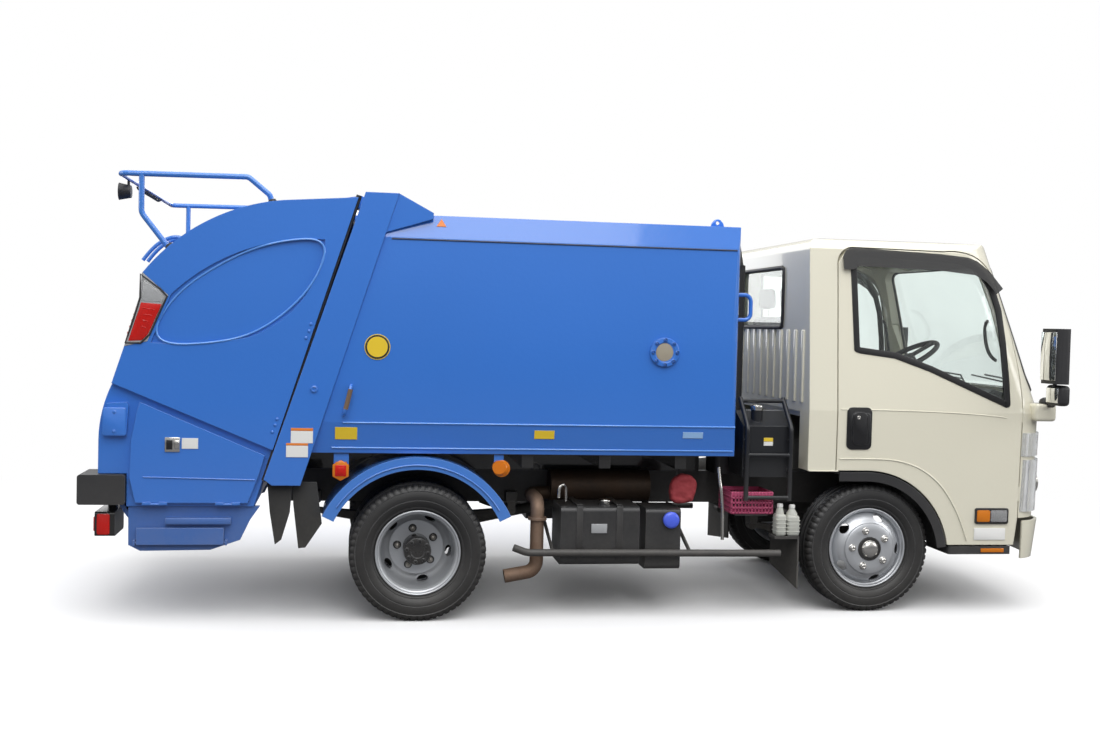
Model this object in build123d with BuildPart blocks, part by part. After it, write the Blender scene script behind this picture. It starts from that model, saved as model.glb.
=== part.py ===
"""Rear-loading refuse truck: ladder chassis, packer body, lifting tailgate and tilting cab."""
import os
from math import cos, radians, sin, tan

from build123d import *

os.makedirs("parts", exist_ok=True)

# X points forward, Y to the truck's left and Z up. The ground is z = 0.
# The driver sits on the right, at -Y. The origin lies on the ground below the middle of the length.

# Axles, tyres and rims
WHEELBASE = 2475
REAR_OVERHANG = 1668
FRONT_OVERHANG = 1097
TYRE_RADIUS = 352
TYRE_WIDTH = 205
RIM_RADIUS = 219
RIM_WIDTH = 165
DISC_OFFSET = 117
FRONT_TRACK = 1420
REAR_TRACK = 1410
TWIN_SPACING = 234
HAND_HOLE_RADIUS = 24
HAND_HOLE_CIRCLE = 160
NUT_CIRCLE = 101
NUT_RADIUS = 14
HUB_DEPTH = 60

REAR_AXLE_X = REAR_OVERHANG - (REAR_OVERHANG + WHEELBASE + FRONT_OVERHANG) / 2
FRONT_AXLE_X = REAR_AXLE_X + WHEELBASE
AXLE_Z = TYRE_RADIUS

# Ladder frame
RAIL_HALF_WIDTH = 350
RAIL_FLANGE = 60
RAIL_HEIGHT = 180
RAIL_WALL = 6
RAIL_TOP_Z = 720
RAIL_REAR_X = REAR_AXLE_X - 690
RAIL_FRONT_X = FRONT_AXLE_X + 905
CROSS_TUBE_RADIUS = 38
CROSS_TUBE_DROP = 50
RAIL_BOTTOM_Z = RAIL_TOP_Z - RAIL_HEIGHT

# Packer body
BODY_HALF_WIDTH = 930
BODY_FRONT_X = REAR_AXLE_X + 1668
BODY_BOTTOM_Z = 860
BODY_RIDGE_Z = 1020
BODY_SEAM_Z = 1960
BODY_EAVE_Z = 2078
BODY_ROOF_Z = 2108
BODY_BULGE = 8
BODY_SILL_INSET = 34
BODY_EAVE_INSET = 26
BODY_WALL = 25
BODY_CORNER = 45
PORT_X = REAR_AXLE_X + 1257
PORT_Z = 1410
PORT_RADIUS = 48
PORT_RING_RADIUS = 76

# The seam between body and tailgate leans back from the hinge to the frame
SEAM_LEAN = 17.4
HINGE_X = REAR_AXLE_X - 330
HINGE_Z = 2150
SEAM_GAP = 14
HINGE_LUG_OFFSET = 640
HINGE_LUG_WIDTH = 70
HINGE_EYE_RADIUS = 34
HINGE_PIN_RADIUS = 16
HINGE_SLOT = 6
HINGE_CHEEK = 20
PIN_CLEARANCE = 0.3
POST_WIDTH = 180
POST_TOP_Z = 2180
POST_BOTTOM_Z = 700
POST_THICKNESS = 75
POST_HALF_WIDTH = 940

# Tailgate
GATE_HALF_WIDTH = 935
GATE_SIDE_WALL = 70
GATE_SKIN = 40
GATE_ROOF_Z = 2152
GATE_SKIRT_Z = 606
SILL_Z = 880
LID_TOP_Z = 1650
DRUM_X = REAR_AXLE_X - 1150
DRUM_Z = 760
DRUM_RADIUS = 348
DRUM_WALL = 22
ROTOR_CLEARANCE = 15
PUSHER_X = REAR_AXLE_X - 780
PUSHER_Z = 1650
COVER_THICKNESS = 28
SHAFT_END_RADIUS = 30
SHAFT_END_LENGTH = 19
LID_AXIS_X = REAR_AXLE_X - 1399
LID_AXIS_Z = LID_TOP_Z + 7
LID_BARREL_RADIUS = 10
LID_PIN_RADIUS = 5
LID_HINGE_PLACES = (-600, 0, 600)
COVER_AXIS_Z = GATE_SKIRT_Z - 2
COVER_BARREL_RADIUS = 6
COVER_PIN_RADIUS = 3
COVER_HINGE_PLACES = (1300, 950)
BARREL_LENGTH = 40

# Cab
CAB_HALF_WIDTH = 847
CAB_BACK_X = FRONT_AXLE_X - 378
CAB_WALL = 45
CAB_BELT_Z = 1110
CAB_SIDE_BOTTOM_Z = 782
CAB_DECK_Z = 1095
CAB_FLOOR_Z = 770
FLOOR_THICKNESS = 30
DOOR_GAP = 6
DOOR_BOTTOM_Z = 375
DOOR_REAR_X = FRONT_AXLE_X - 214
DOOR_FRONT_X = FRONT_AXLE_X + 864
ARCH_X = FRONT_AXLE_X - 35
ARCH_Z = 300
ARCH_RADIUS = 476
ARCH_LIP = 50
GLASS_THICKNESS = 6
REAR_WINDOW_Z = 1730
REAR_WINDOW_WIDTH = 760
REAR_WINDOW_HEIGHT = 345
REAR_WINDOW_CORNER = 50
GLASS_INSET = 8
BUMPER_BOTTOM_Z = 300
BUMPER_TOP_Z = 512
BUMPER_SHEET = 12
BUMPER_PROUD = 12


def behind(distance):
    """X of a place behind the rear axle."""
    return REAR_AXLE_X - distance


def ahead(distance):
    """X of a place ahead of the front axle."""
    return FRONT_AXLE_X + distance


def seam_x(z):
    """X of the leaning seam at a height."""
    return HINGE_X - (HINGE_Z - z) * tan(radians(SEAM_LEAN))


def save(part, name):
    part.label = name
    export_step(part, f"parts/{name}.step")


def side_prism(points, near, far):
    """A side outline of (x, z) points as a solid on the truck's right, from near to far off centre."""
    with BuildPart() as prism:
        with BuildSketch(Plane.XZ.offset(near)):
            with BuildLine():
                Polyline(*points, close=True)
            make_face()
        extrude(amount=far - near)
    return prism.part


def cross_prism(points, half_width):
    """A side outline of (x, z) points as a solid across the truck."""
    with BuildPart() as prism:
        with BuildSketch(Plane.XZ):
            with BuildLine():
                Polyline(*points, close=True)
            make_face()
        extrude(amount=half_width, both=True)
    return prism.part


def both_sides(part):
    """The right-hand piece and its mirror image on the left, as two solids of one node."""
    return Compound(children=[*part.solids(), *mirror(part, about=Plane.XZ).solids()])


# Ladder frame: two channels joined by cross tubes and end members
with BuildPart() as frame:
    with BuildSketch(Plane.YZ.offset(RAIL_REAR_X)):
        with Locations((RAIL_HALF_WIDTH - RAIL_FLANGE / 2, RAIL_TOP_Z - RAIL_HEIGHT / 2)):
            Rectangle(RAIL_FLANGE, RAIL_HEIGHT)
        with Locations((RAIL_HALF_WIDTH - RAIL_WALL - RAIL_FLANGE / 2, RAIL_TOP_Z - RAIL_HEIGHT / 2)):
            Rectangle(RAIL_FLANGE, RAIL_HEIGHT - 2 * RAIL_WALL, mode=Mode.SUBTRACT)
        mirror(about=Plane.YZ)
    extrude(amount=RAIL_FRONT_X - RAIL_REAR_X)
    for member_x in (RAIL_REAR_X + 60, REAR_AXLE_X + 420, REAR_AXLE_X + 1250, RAIL_FRONT_X - 80):
        with BuildSketch(Plane.XZ.offset(-(RAIL_HALF_WIDTH - RAIL_WALL))):
            with Locations((member_x, RAIL_TOP_Z - CROSS_TUBE_DROP)):
                Circle(CROSS_TUBE_RADIUS)
        extrude(amount=2 * (RAIL_HALF_WIDTH - RAIL_WALL))

# Front cab mount: pivot tube, its plates and the bumper brackets join the rails at the nose
PIVOT_X = ahead(985)
PIVOT_Z = 542
PIVOT_RADIUS = 18
CAB_LUG_OFFSET = 240
CAB_LUG_WIDTH = 44
CAB_LUG_RADIUS = 27


def frame_plate(points):
    return side_prism(points, RAIL_HALF_WIDTH - RAIL_FLANGE, RAIL_HALF_WIDTH)


# Packer body: a curved steel box on longitudinal and cross bearers, open to the rear
BODY_LENGTH = BODY_FRONT_X - RAIL_REAR_X + 200


def body_form(inset):
    """The body's outer form, or the room inside it, by the wall's inset."""
    side = BODY_HALF_WIDTH - BODY_BULGE
    with BuildPart() as form:
        with BuildSketch(Plane.YZ.offset(BODY_FRONT_X - inset)):
            with BuildLine():
                Polyline((0, BODY_BOTTOM_Z), (side - BODY_SILL_INSET, BODY_BOTTOM_Z), (side, BODY_RIDGE_Z))
                ThreePointArc(
                    (side, BODY_RIDGE_Z),
                    (BODY_HALF_WIDTH, (BODY_RIDGE_Z + BODY_SEAM_Z) / 2),
                    (side, BODY_SEAM_Z),
                )
                Line((side, BODY_SEAM_Z), (side - BODY_EAVE_INSET, BODY_EAVE_Z))
                ThreePointArc(
                    (side - BODY_EAVE_INSET, BODY_EAVE_Z),
                    (side / 2, BODY_ROOF_Z - 6),
                    (0, BODY_ROOF_Z),
                )
                Line((0, BODY_ROOF_Z), (0, BODY_BOTTOM_Z))
            make_face()
            mirror(about=Plane.YZ)
            if inset:
                offset(amount=-inset, kind=Kind.INTERSECTION)
        extrude(amount=-BODY_LENGTH)
        if not inset:
            with BuildSketch(Plane.XY.offset(BODY_BOTTOM_Z - 1)):
                with Locations((BODY_FRONT_X - BODY_LENGTH / 2, 0)):
                    RectangleRounded(BODY_LENGTH, 2 * BODY_HALF_WIDTH, BODY_CORNER)
            extrude(amount=BODY_ROOF_Z - BODY_BOTTOM_Z + 2, mode=Mode.INTERSECT)
    return form.part


body_outer = body_form(0)

POST_REAR = SEAM_GAP / 2
POST_FRONT = POST_REAR + POST_WIDTH


def leaning_cut(reach):
    """All that lies behind a line parallel to the seam, a reach ahead of it."""
    return cross_prism(
        [
            (seam_x(0) + reach, 0),
            (seam_x(3000) + reach, 3000),
            (seam_x(0) - 2000, 3000),
            (seam_x(0) - 2000, 0),
        ],
        1200,
    )


BEARER_HALF_SPAN = RAIL_HALF_WIDTH - RAIL_FLANGE / 2
CROSS_BEARER_HEIGHT = 70
with BuildPart() as body_all:
    add(body_outer)
    add(body_form(BODY_WALL), mode=Mode.SUBTRACT)
    bearer_length = BODY_FRONT_X - 40 - (seam_x(RAIL_TOP_Z) + POST_FRONT)
    bearer_middle = BODY_FRONT_X - 40 - bearer_length / 2
    with BuildSketch(Plane.XY.offset(RAIL_TOP_Z)):
        with Locations((bearer_middle, BEARER_HALF_SPAN), (bearer_middle, -BEARER_HALF_SPAN)):
            Rectangle(bearer_length, RAIL_FLANGE)
    extrude(amount=BODY_BOTTOM_Z - RAIL_TOP_Z)
    with BuildSketch(Plane.XY.offset(BODY_BOTTOM_Z - CROSS_BEARER_HEIGHT)):
        # Columns: place ahead of the rear axle, half span. Over the wheels they end inside the fenders
        for bearer_x, half_span in ((-260, 440), (150, 440), (560, 870), (970, 870), (1380, 870)):
            with Locations((REAR_AXLE_X + bearer_x, 0)):
                Rectangle(60, 2 * half_span)
    extrude(amount=CROSS_BEARER_HEIGHT)
    with BuildSketch(Plane.XZ.offset(BODY_HALF_WIDTH - 60)):
        with Locations((PORT_X, PORT_Z)):
            Circle(PORT_RADIUS)
    extrude(amount=100, mode=Mode.SUBTRACT)
    add(leaning_cut(POST_FRONT), mode=Mode.SUBTRACT)
save(body_all.part, "packer_body")

# Rear ring of the body: two leaning box posts with a head beam, a sill beam and roof gussets
ring_side = [
    (seam_x(POST_BOTTOM_Z) + POST_REAR, POST_BOTTOM_Z + 30),
    (seam_x(POST_TOP_Z) + POST_REAR + 12, POST_TOP_Z),
    (seam_x(POST_TOP_Z) + POST_FRONT, POST_TOP_Z),
    (seam_x(POST_BOTTOM_Z) + POST_FRONT, POST_BOTTOM_Z),
    (seam_x(POST_BOTTOM_Z) + POST_REAR + 40, POST_BOTTOM_Z),
]
POST_INNER = POST_HALF_WIDTH - POST_THICKNESS
gusset = side_prism(
    [
        (seam_x(BODY_SEAM_Z) + POST_FRONT, BODY_SEAM_Z + 20),
        (seam_x(POST_TOP_Z) + POST_FRONT, POST_TOP_Z),
        (seam_x(POST_TOP_Z) + POST_FRONT + 175, BODY_EAVE_Z + 10),
        (seam_x(POST_TOP_Z) + POST_FRONT + 175, BODY_EAVE_Z - 20),
    ],
    POST_INNER,
    POST_HALF_WIDTH - 8,
)
with BuildPart() as gusset_seated:
    add(gusset)
    add(body_outer, mode=Mode.SUBTRACT)
with BuildPart() as ring:
    with BuildSketch(Plane.XZ):
        with BuildLine():
            Polyline(*ring_side, close=True)
        make_face()
    extrude(amount=POST_HALF_WIDTH, both=True)
    with BuildSketch(Plane.YZ.offset(seam_x(0) - 100)):
        opening_height = BODY_EAVE_Z - BODY_WALL - (BODY_BOTTOM_Z + BODY_WALL)
        with Locations((0, BODY_BOTTOM_Z + BODY_WALL + opening_height / 2)):
            Rectangle(2 * POST_INNER, opening_height)
        with Locations((0, BODY_BOTTOM_Z - 80 - 200)):
            Rectangle(2 * POST_INNER, 400)
    extrude(amount=1500, mode=Mode.SUBTRACT)
    add(gusset_seated.part)
    add(mirror(gusset_seated.part, about=Plane.XZ))
    slot_width = HINGE_LUG_WIDTH + 2 * HINGE_SLOT
    for lug_y in (-HINGE_LUG_OFFSET, HINGE_LUG_OFFSET):
        with BuildSketch(Plane.XZ.offset(lug_y - slot_width / 2 - HINGE_CHEEK)):
            with Locations((HINGE_X, HINGE_Z)):
                Circle(HINGE_EYE_RADIUS)
        extrude(amount=slot_width + 2 * HINGE_CHEEK)
        with BuildSketch(Plane.XZ.offset(lug_y - slot_width / 2)):
            with Locations((HINGE_X, HINGE_Z)):
                Circle(HINGE_EYE_RADIUS + HINGE_SLOT)
        extrude(amount=slot_width, mode=Mode.SUBTRACT)
        with BuildSketch(Plane.XZ.offset(lug_y - slot_width / 2)):
            with Locations((HINGE_X, HINGE_Z)):
                Circle(HINGE_PIN_RADIUS)
        extrude(amount=slot_width)
save(ring.part, "rear_ring")

# Tailgate: side walls and a curved skin over the packing room, hung from two lugs
gate_front_low = (seam_x(GATE_SKIRT_Z - 16) - SEAM_GAP / 2, GATE_SKIRT_Z - 16)
gate_front_high = (seam_x(GATE_ROOF_Z) - SEAM_GAP / 2, GATE_ROOF_Z)
NOTCH_X = behind(1440)
NOTCH_Z = 752


def gate_form(near, far, inset=0):
    """The tailgate's side outline as a solid between two distances off centre on the right."""
    with BuildPart() as form:
        with BuildSketch(Plane.XZ.offset(near)):
            with BuildLine():
                Line(gate_front_high, (behind(700), 2124))
                ThreePointArc((behind(700), 2124), (behind(1080), 2002), (behind(1377), 1740))
                Line((behind(1377), 1740), (behind(1384), 1610))
                Line((behind(1384), 1610), (behind(1511), 1204))
                ThreePointArc((behind(1511), 1204), (behind(1558), 1070), (behind(1576), 920))
                Polyline(
                    (behind(1576), 920),
                    (behind(1576), NOTCH_Z),
                    (NOTCH_X, NOTCH_Z),
                    (NOTCH_X, GATE_SKIRT_Z - 16),
                    gate_front_low,
                    gate_front_high,
                )
            make_face()
            if inset:
                offset(amount=-inset, kind=Kind.INTERSECTION)
        extrude(amount=far - near)
    return form.part


GATE_WALL_INNER = GATE_HALF_WIDTH - GATE_SIDE_WALL
GATE_PANEL_INNER = GATE_HALF_WIDTH - 30
panel_low_rear = (behind(1520), 1202)
panel_low_front = (seam_x(873), 873)
below_panel = side_prism(
    [(behind(1700), 1279), panel_low_rear, panel_low_front, (behind(400), 725), (behind(400), 400),
     (behind(1700), 400)],
    GATE_PANEL_INNER,
    GATE_HALF_WIDTH + 10,
)
with BuildPart() as eye:
    with BuildSketch(Plane.XZ.offset(GATE_HALF_WIDTH - 12)):
        with BuildLine():
            ThreePointArc((behind(1238), 1640), (behind(905), 1862), (behind(498), 1934))
            ThreePointArc((behind(498), 1934), (behind(585), 1660), (behind(860), 1440))
            ThreePointArc((behind(860), 1440), (behind(1100), 1404), (behind(1330), 1402))
            Line((behind(1330), 1402), (behind(1238), 1640))
        make_face()
    extrude(amount=30)
lamp_outline = [
    (behind(1400), 1760),
    (behind(1374), 1744),
    (behind(1250), 1636),
    (behind(1346), 1408),
    (behind(1460), 1380),
]
lamp_prism = side_prism(lamp_outline, GATE_WALL_INNER, GATE_HALF_WIDTH + 4)
COVER_INNER_Y = GATE_PANEL_INNER + 1
COVER_OUTER_Y = COVER_INNER_Y + COVER_THICKNESS
with BuildPart() as gate_wall:
    add(gate_form(GATE_WALL_INNER, GATE_HALF_WIDTH))
    add(below_panel, mode=Mode.SUBTRACT)
    add(eye.part, mode=Mode.SUBTRACT)
    add(lamp_prism, mode=Mode.SUBTRACT)
    # Bearings for the ends of the rotor's and the push plate's shafts
    for bore_place in ((DRUM_X, DRUM_Z), (PUSHER_X, PUSHER_Z)):
        with BuildSketch(Plane.XZ.offset(GATE_WALL_INNER)):
            with Locations(bore_place):
                Circle(SHAFT_END_RADIUS + PIN_CLEARANCE)
        extrude(amount=SHAFT_END_LENGTH + 1, mode=Mode.SUBTRACT)
    # Hinge barrels under the side cover
    for distance in COVER_HINGE_PLACES:
        with BuildSketch(Plane.YZ.offset(behind(distance) - BARREL_LENGTH / 2)):
            with Locations((-COVER_OUTER_Y, COVER_AXIS_Z)):
                Circle(COVER_BARREL_RADIUS)
            with Locations((-(COVER_OUTER_Y + GATE_PANEL_INNER - 8) / 2, COVER_AXIS_Z - 1.5)):
                Rectangle(COVER_OUTER_Y - GATE_PANEL_INNER + 8, 9)
            with Locations((-COVER_OUTER_Y, COVER_AXIS_Z)):
                Circle(COVER_PIN_RADIUS + PIN_CLEARANCE, mode=Mode.SUBTRACT)
        extrude(amount=BARREL_LENGTH)
skin_room = [
    (behind(760), 2080),
    (behind(200), 2106),
    (behind(200), 300),
    (behind(900), 300),
]
below_lid_top = cross_prism(
    [
        (behind(1700), LID_TOP_Z + 10),
        (behind(1200), LID_TOP_Z + 10),
        (behind(1200), 1000),
        (behind(800), 1000),
        (behind(800), 300),
        (behind(1700), 300),
    ],
    1000,
)
with BuildPart() as gate_skin:
    add(gate_form(-GATE_WALL_INNER, GATE_WALL_INNER))
    add(gate_form(-1000, 1000, GATE_SKIN), mode=Mode.SUBTRACT)
    add(cross_prism(skin_room, 1000), mode=Mode.SUBTRACT)
    add(below_lid_top, mode=Mode.SUBTRACT)
    for lug_y in (-HINGE_LUG_OFFSET, HINGE_LUG_OFFSET):
        notch_width = HINGE_LUG_WIDTH + 2 * (HINGE_SLOT + HINGE_CHEEK + 6)
        with BuildSketch(Plane.XZ.offset(lug_y - notch_width / 2)):
            with Locations((HINGE_X, HINGE_Z)):
                Circle(HINGE_EYE_RADIUS + 8)
        extrude(amount=notch_width, mode=Mode.SUBTRACT)
with BuildPart() as gate_lug:
    with BuildSketch(Plane.XZ.offset(HINGE_LUG_OFFSET - HINGE_LUG_WIDTH / 2)):
        with Locations((HINGE_X, HINGE_Z)):
            Circle(HINGE_EYE_RADIUS)
        with BuildLine():
            Polyline(
                (HINGE_X, HINGE_Z + HINGE_EYE_RADIUS),
                (HINGE_X - 120, HINGE_Z + 14),
                (HINGE_X - 120, HINGE_Z - 30),
                (HINGE_X, HINGE_Z - HINGE_EYE_RADIUS),
                close=True,
            )
        make_face()
        with Locations((HINGE_X, HINGE_Z)):
            Circle(HINGE_PIN_RADIUS + PIN_CLEARANCE, mode=Mode.SUBTRACT)
    extrude(amount=HINGE_LUG_WIDTH)
junction_box = side_prism(
    [(behind(1535), 1100), (behind(1535), 945), (behind(1440), 945), (behind(1432), 1092), (behind(1440), 1105)],
    GATE_PANEL_INNER - 4,
    GATE_HALF_WIDTH - 4,
)
with BuildPart() as lid_barrels:
    for hinge_y in LID_HINGE_PLACES:
        with BuildSketch(Plane.XZ.offset(hinge_y - BARREL_LENGTH / 2)):
            with Locations((LID_AXIS_X, LID_AXIS_Z)):
                Circle(LID_BARREL_RADIUS)
            with BuildLine():
                Polyline(
                    (LID_AXIS_X - LID_BARREL_RADIUS, LID_AXIS_Z),
                    (LID_AXIS_X - LID_BARREL_RADIUS, LID_AXIS_Z + 30),
                    (LID_AXIS_X + 33, LID_AXIS_Z + 30),
                    (LID_AXIS_X + 33, LID_AXIS_Z + 6),
                    (LID_AXIS_X, LID_AXIS_Z + 6),
                    close=True,
                )
            make_face()
            with Locations((LID_AXIS_X, LID_AXIS_Z)):
                Circle(LID_PIN_RADIUS + PIN_CLEARANCE, mode=Mode.SUBTRACT)
        extrude(amount=BARREL_LENGTH)
with BuildPart() as gate:
    add(gate_skin.part)
    add(lid_barrels.part)
    add(junction_box)
    add(gate_wall.part)
    add(mirror(gate_wall.part, about=Plane.XZ))
    add(gate_lug.part)
    add(mirror(gate_lug.part, about=Plane.XZ))
save(gate.part, "tailgate_shell")

# Tail lamps set through the side walls at the rear edge, and the lower lamp units
with BuildPart() as lamps:
    add(gate_form(GATE_WALL_INNER, GATE_HALF_WIDTH + 2))
    add(lamp_prism, mode=Mode.INTERSECT)

# Hopper tub: the round trough that the rotor sweeps, its sloping sill and end plates
TUB_HALF_WIDTH = GATE_WALL_INNER
DRUM_OUTER = DRUM_RADIUS + DRUM_WALL
TUB_FRONT_Z = SILL_Z
SILL_X = behind(1566)
BEAM_HALF_HEIGHT = 35
BEAM_Z = 675
with BuildPart() as low_lamp:
    with BuildSketch(Plane.YZ.offset(behind(1590))):
        with Locations((-775, 500)):
            RectangleRounded(250, 120, 12)
    extrude(amount=96)
    with BuildSketch(Plane.XY.offset(555)):
        with Locations((behind(1545), -672)):
            Rectangle(40, 36)
    extrude(amount=BEAM_Z - BEAM_HALF_HEIGHT - 555)
save(
    Compound(children=[*both_sides(lamps.part).solids(), *both_sides(low_lamp.part).solids()]),
    "tail_lamps",
)
with BuildPart() as tub:
    with BuildSketch(Plane.XZ):
        with BuildLine():
            Line((DRUM_X - DRUM_OUTER, DRUM_Z), (SILL_X, SILL_Z))
            Line((SILL_X, SILL_Z), (SILL_X + DRUM_WALL + 6, SILL_Z))
            Line((SILL_X + DRUM_WALL + 6, SILL_Z), (DRUM_X - DRUM_RADIUS, DRUM_Z))
            ThreePointArc(
                (DRUM_X - DRUM_RADIUS, DRUM_Z),
                (DRUM_X, DRUM_Z - DRUM_RADIUS),
                (DRUM_X + DRUM_RADIUS, DRUM_Z),
            )
            Line((DRUM_X + DRUM_RADIUS, DRUM_Z), (DRUM_X + DRUM_RADIUS, TUB_FRONT_Z))
            Line((DRUM_X + DRUM_RADIUS, TUB_FRONT_Z), (DRUM_X + DRUM_OUTER, TUB_FRONT_Z))
            Line((DRUM_X + DRUM_OUTER, TUB_FRONT_Z), (DRUM_X + DRUM_OUTER, DRUM_Z))
            ThreePointArc(
                (DRUM_X + DRUM_OUTER, DRUM_Z),
                (DRUM_X, DRUM_Z - DRUM_OUTER),
                (DRUM_X - DRUM_OUTER, DRUM_Z),
            )
        make_face()
    extrude(amount=TUB_HALF_WIDTH, both=True)
    with BuildSketch(Plane.XZ.offset(-TUB_HALF_WIDTH)):
        with Locations((behind(1560), BEAM_Z)):
            Rectangle(90, 2 * BEAM_HALF_HEIGHT)
        with Locations((behind(1508), BEAM_Z)):
            Rectangle(20, 2 * BEAM_HALF_HEIGHT)
    extrude(amount=2 * TUB_HALF_WIDTH)
tub_end = side_prism(
    [
        (behind(1432), GATE_SKIRT_Z - 16),
        (behind(1430), 396),
        (behind(1372), 366),
        (behind(1035), 370),
        (behind(890), 420),
        (behind(843), 521),
        (behind(796), GATE_SKIRT_Z - 16),
    ],
    TUB_HALF_WIDTH,
    TUB_HALF_WIDTH + 30,
)
STEP_REAR_X = behind(1388)
STEP_FRONT_X = behind(968)
STEP_AXIS_Y = TUB_HALF_WIDTH + 50
STEP_AXIS_Z = 411
STEP_PIN_RADIUS = 6
LUG_SHEET = 10
with BuildPart() as tub_side:
    add(tub_end)
    for lug_x, way in ((STEP_REAR_X - 6 - LUG_SHEET, 1), (STEP_FRONT_X + 6, -1)):
        with BuildSketch(Plane.YZ.offset(lug_x)):
            with Locations((-(TUB_HALF_WIDTH + 44), STEP_AXIS_Z)):
                Rectangle(34, 26)
        extrude(amount=LUG_SHEET)
        pin_x = lug_x if way == 1 else lug_x + LUG_SHEET
        with BuildSketch(Plane.YZ.offset(pin_x)):
            with Locations((-STEP_AXIS_Y, STEP_AXIS_Z)):
                Circle(STEP_PIN_RADIUS)
        extrude(amount=way * (LUG_SHEET + 26))
with BuildPart() as tub_all:
    add(tub.part)
    add(tub_side.part)
    add(mirror(tub_side.part, about=Plane.XZ, mode=Mode.PRIVATE))
save(tub_all.part, "hopper_tub")

# Folding side steps: boards that hang folded up beside the tub
with BuildPart() as folding_step:
    with BuildSketch(Plane.YZ.offset(STEP_REAR_X)):
        with Locations((-STEP_AXIS_Y, STEP_AXIS_Z + 32)):
            Rectangle(22, 84)
        with Locations((-STEP_AXIS_Y, STEP_AXIS_Z)):
            Circle(STEP_PIN_RADIUS + 0.5, mode=Mode.SUBTRACT)
    extrude(amount=STEP_FRONT_X - STEP_REAR_X)
save(folding_step.part, "side_step_right")
save(mirror(folding_step.part, about=Plane.XZ), "side_step_left")

# Rotor: one blade on a cross shaft that turns all the way round in the tub
ROTOR_RADIUS = DRUM_RADIUS - ROTOR_CLEARANCE
ROTOR_HALF_WIDTH = TUB_HALF_WIDTH - 8
with BuildPart() as rotor:
    with BuildSketch(Plane.XZ.offset(-ROTOR_HALF_WIDTH)):
        with Locations((DRUM_X, DRUM_Z)):
            Circle(60)
        with Locations((DRUM_X + ROTOR_RADIUS / 2, DRUM_Z)):
            Rectangle(ROTOR_RADIUS, 36)
    extrude(amount=2 * ROTOR_HALF_WIDTH)
    with BuildSketch(Plane.XZ.offset(-(TUB_HALF_WIDTH + SHAFT_END_LENGTH))):
        with Locations((DRUM_X, DRUM_Z)):
            Circle(SHAFT_END_RADIUS)
    extrude(amount=2 * (TUB_HALF_WIDTH + SHAFT_END_LENGTH))
save(rotor.part, "packing_rotor")

# Push plate: hangs from its shaft and sweeps the refuse into the body
PUSHER_LENGTH = 530
with BuildPart() as pusher:
    with BuildSketch(Plane.XZ.offset(-ROTOR_HALF_WIDTH)):
        with Locations((PUSHER_X, PUSHER_Z)):
            Circle(50)
        with Locations((PUSHER_X, PUSHER_Z - PUSHER_LENGTH / 2)):
            Rectangle(40, PUSHER_LENGTH)
    extrude(amount=2 * ROTOR_HALF_WIDTH)
    with BuildSketch(Plane.XZ.offset(-(TUB_HALF_WIDTH + SHAFT_END_LENGTH))):
        with Locations((PUSHER_X, PUSHER_Z)):
            Circle(SHAFT_END_RADIUS)
    extrude(amount=2 * (TUB_HALF_WIDTH + SHAFT_END_LENGTH))
save(pusher.part, "push_plate")

# Loading lid: a bent panel hinged along its top edge
LID_THICKNESS = 28
LID_HALF_WIDTH = TUB_HALF_WIDTH - 8
with BuildPart() as lid:
    with BuildSketch(Plane.XZ.offset(-LID_HALF_WIDTH)):
        with BuildLine():
            Line((behind(1388), LID_TOP_Z), (behind(1505), 1204))
            ThreePointArc((behind(1505), 1204), (behind(1550), 1070), (behind(1566), SILL_Z + 8))
            Line((behind(1566), SILL_Z + 8), (behind(1566) + LID_THICKNESS, SILL_Z + 8))
            ThreePointArc(
                (behind(1566) + LID_THICKNESS, SILL_Z + 8),
                (behind(1550) + LID_THICKNESS, 1070),
                (behind(1505) + LID_THICKNESS, 1204),
            )
            Line((behind(1505) + LID_THICKNESS, 1204), (behind(1388) + LID_THICKNESS, LID_TOP_Z))
            Line((behind(1388) + LID_THICKNESS, LID_TOP_Z), (behind(1388), LID_TOP_Z))
        make_face()
    extrude(amount=2 * LID_HALF_WIDTH)
    # Hinge barrels each side of the tailgate's, on one pin
    for hinge_y in LID_HINGE_PLACES:
        barrel_reach = BARREL_LENGTH * 1.5 + PIN_CLEARANCE
        for barrel_y in (hinge_y - barrel_reach, hinge_y + BARREL_LENGTH / 2 + PIN_CLEARANCE):
            with BuildSketch(Plane.XZ.offset(barrel_y)):
                with Locations((LID_AXIS_X, LID_AXIS_Z)):
                    Circle(LID_BARREL_RADIUS)
                with BuildLine():
                    Polyline(
                        (LID_AXIS_X - LID_BARREL_RADIUS, LID_AXIS_Z),
                        (LID_AXIS_X - LID_BARREL_RADIUS, LID_AXIS_Z - 30),
                        (LID_AXIS_X + 16, LID_AXIS_Z - 30),
                        (LID_AXIS_X + 16, LID_TOP_Z),
                        (LID_AXIS_X + 5, LID_AXIS_Z),
                        close=True,
                    )
                make_face()
            extrude(amount=BARREL_LENGTH)
        with BuildSketch(Plane.XZ.offset(hinge_y - barrel_reach)):
            with Locations((LID_AXIS_X, LID_AXIS_Z)):
                Circle(LID_PIN_RADIUS)
        extrude(amount=2 * barrel_reach)
save(lid.part, "loading_lid")

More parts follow.
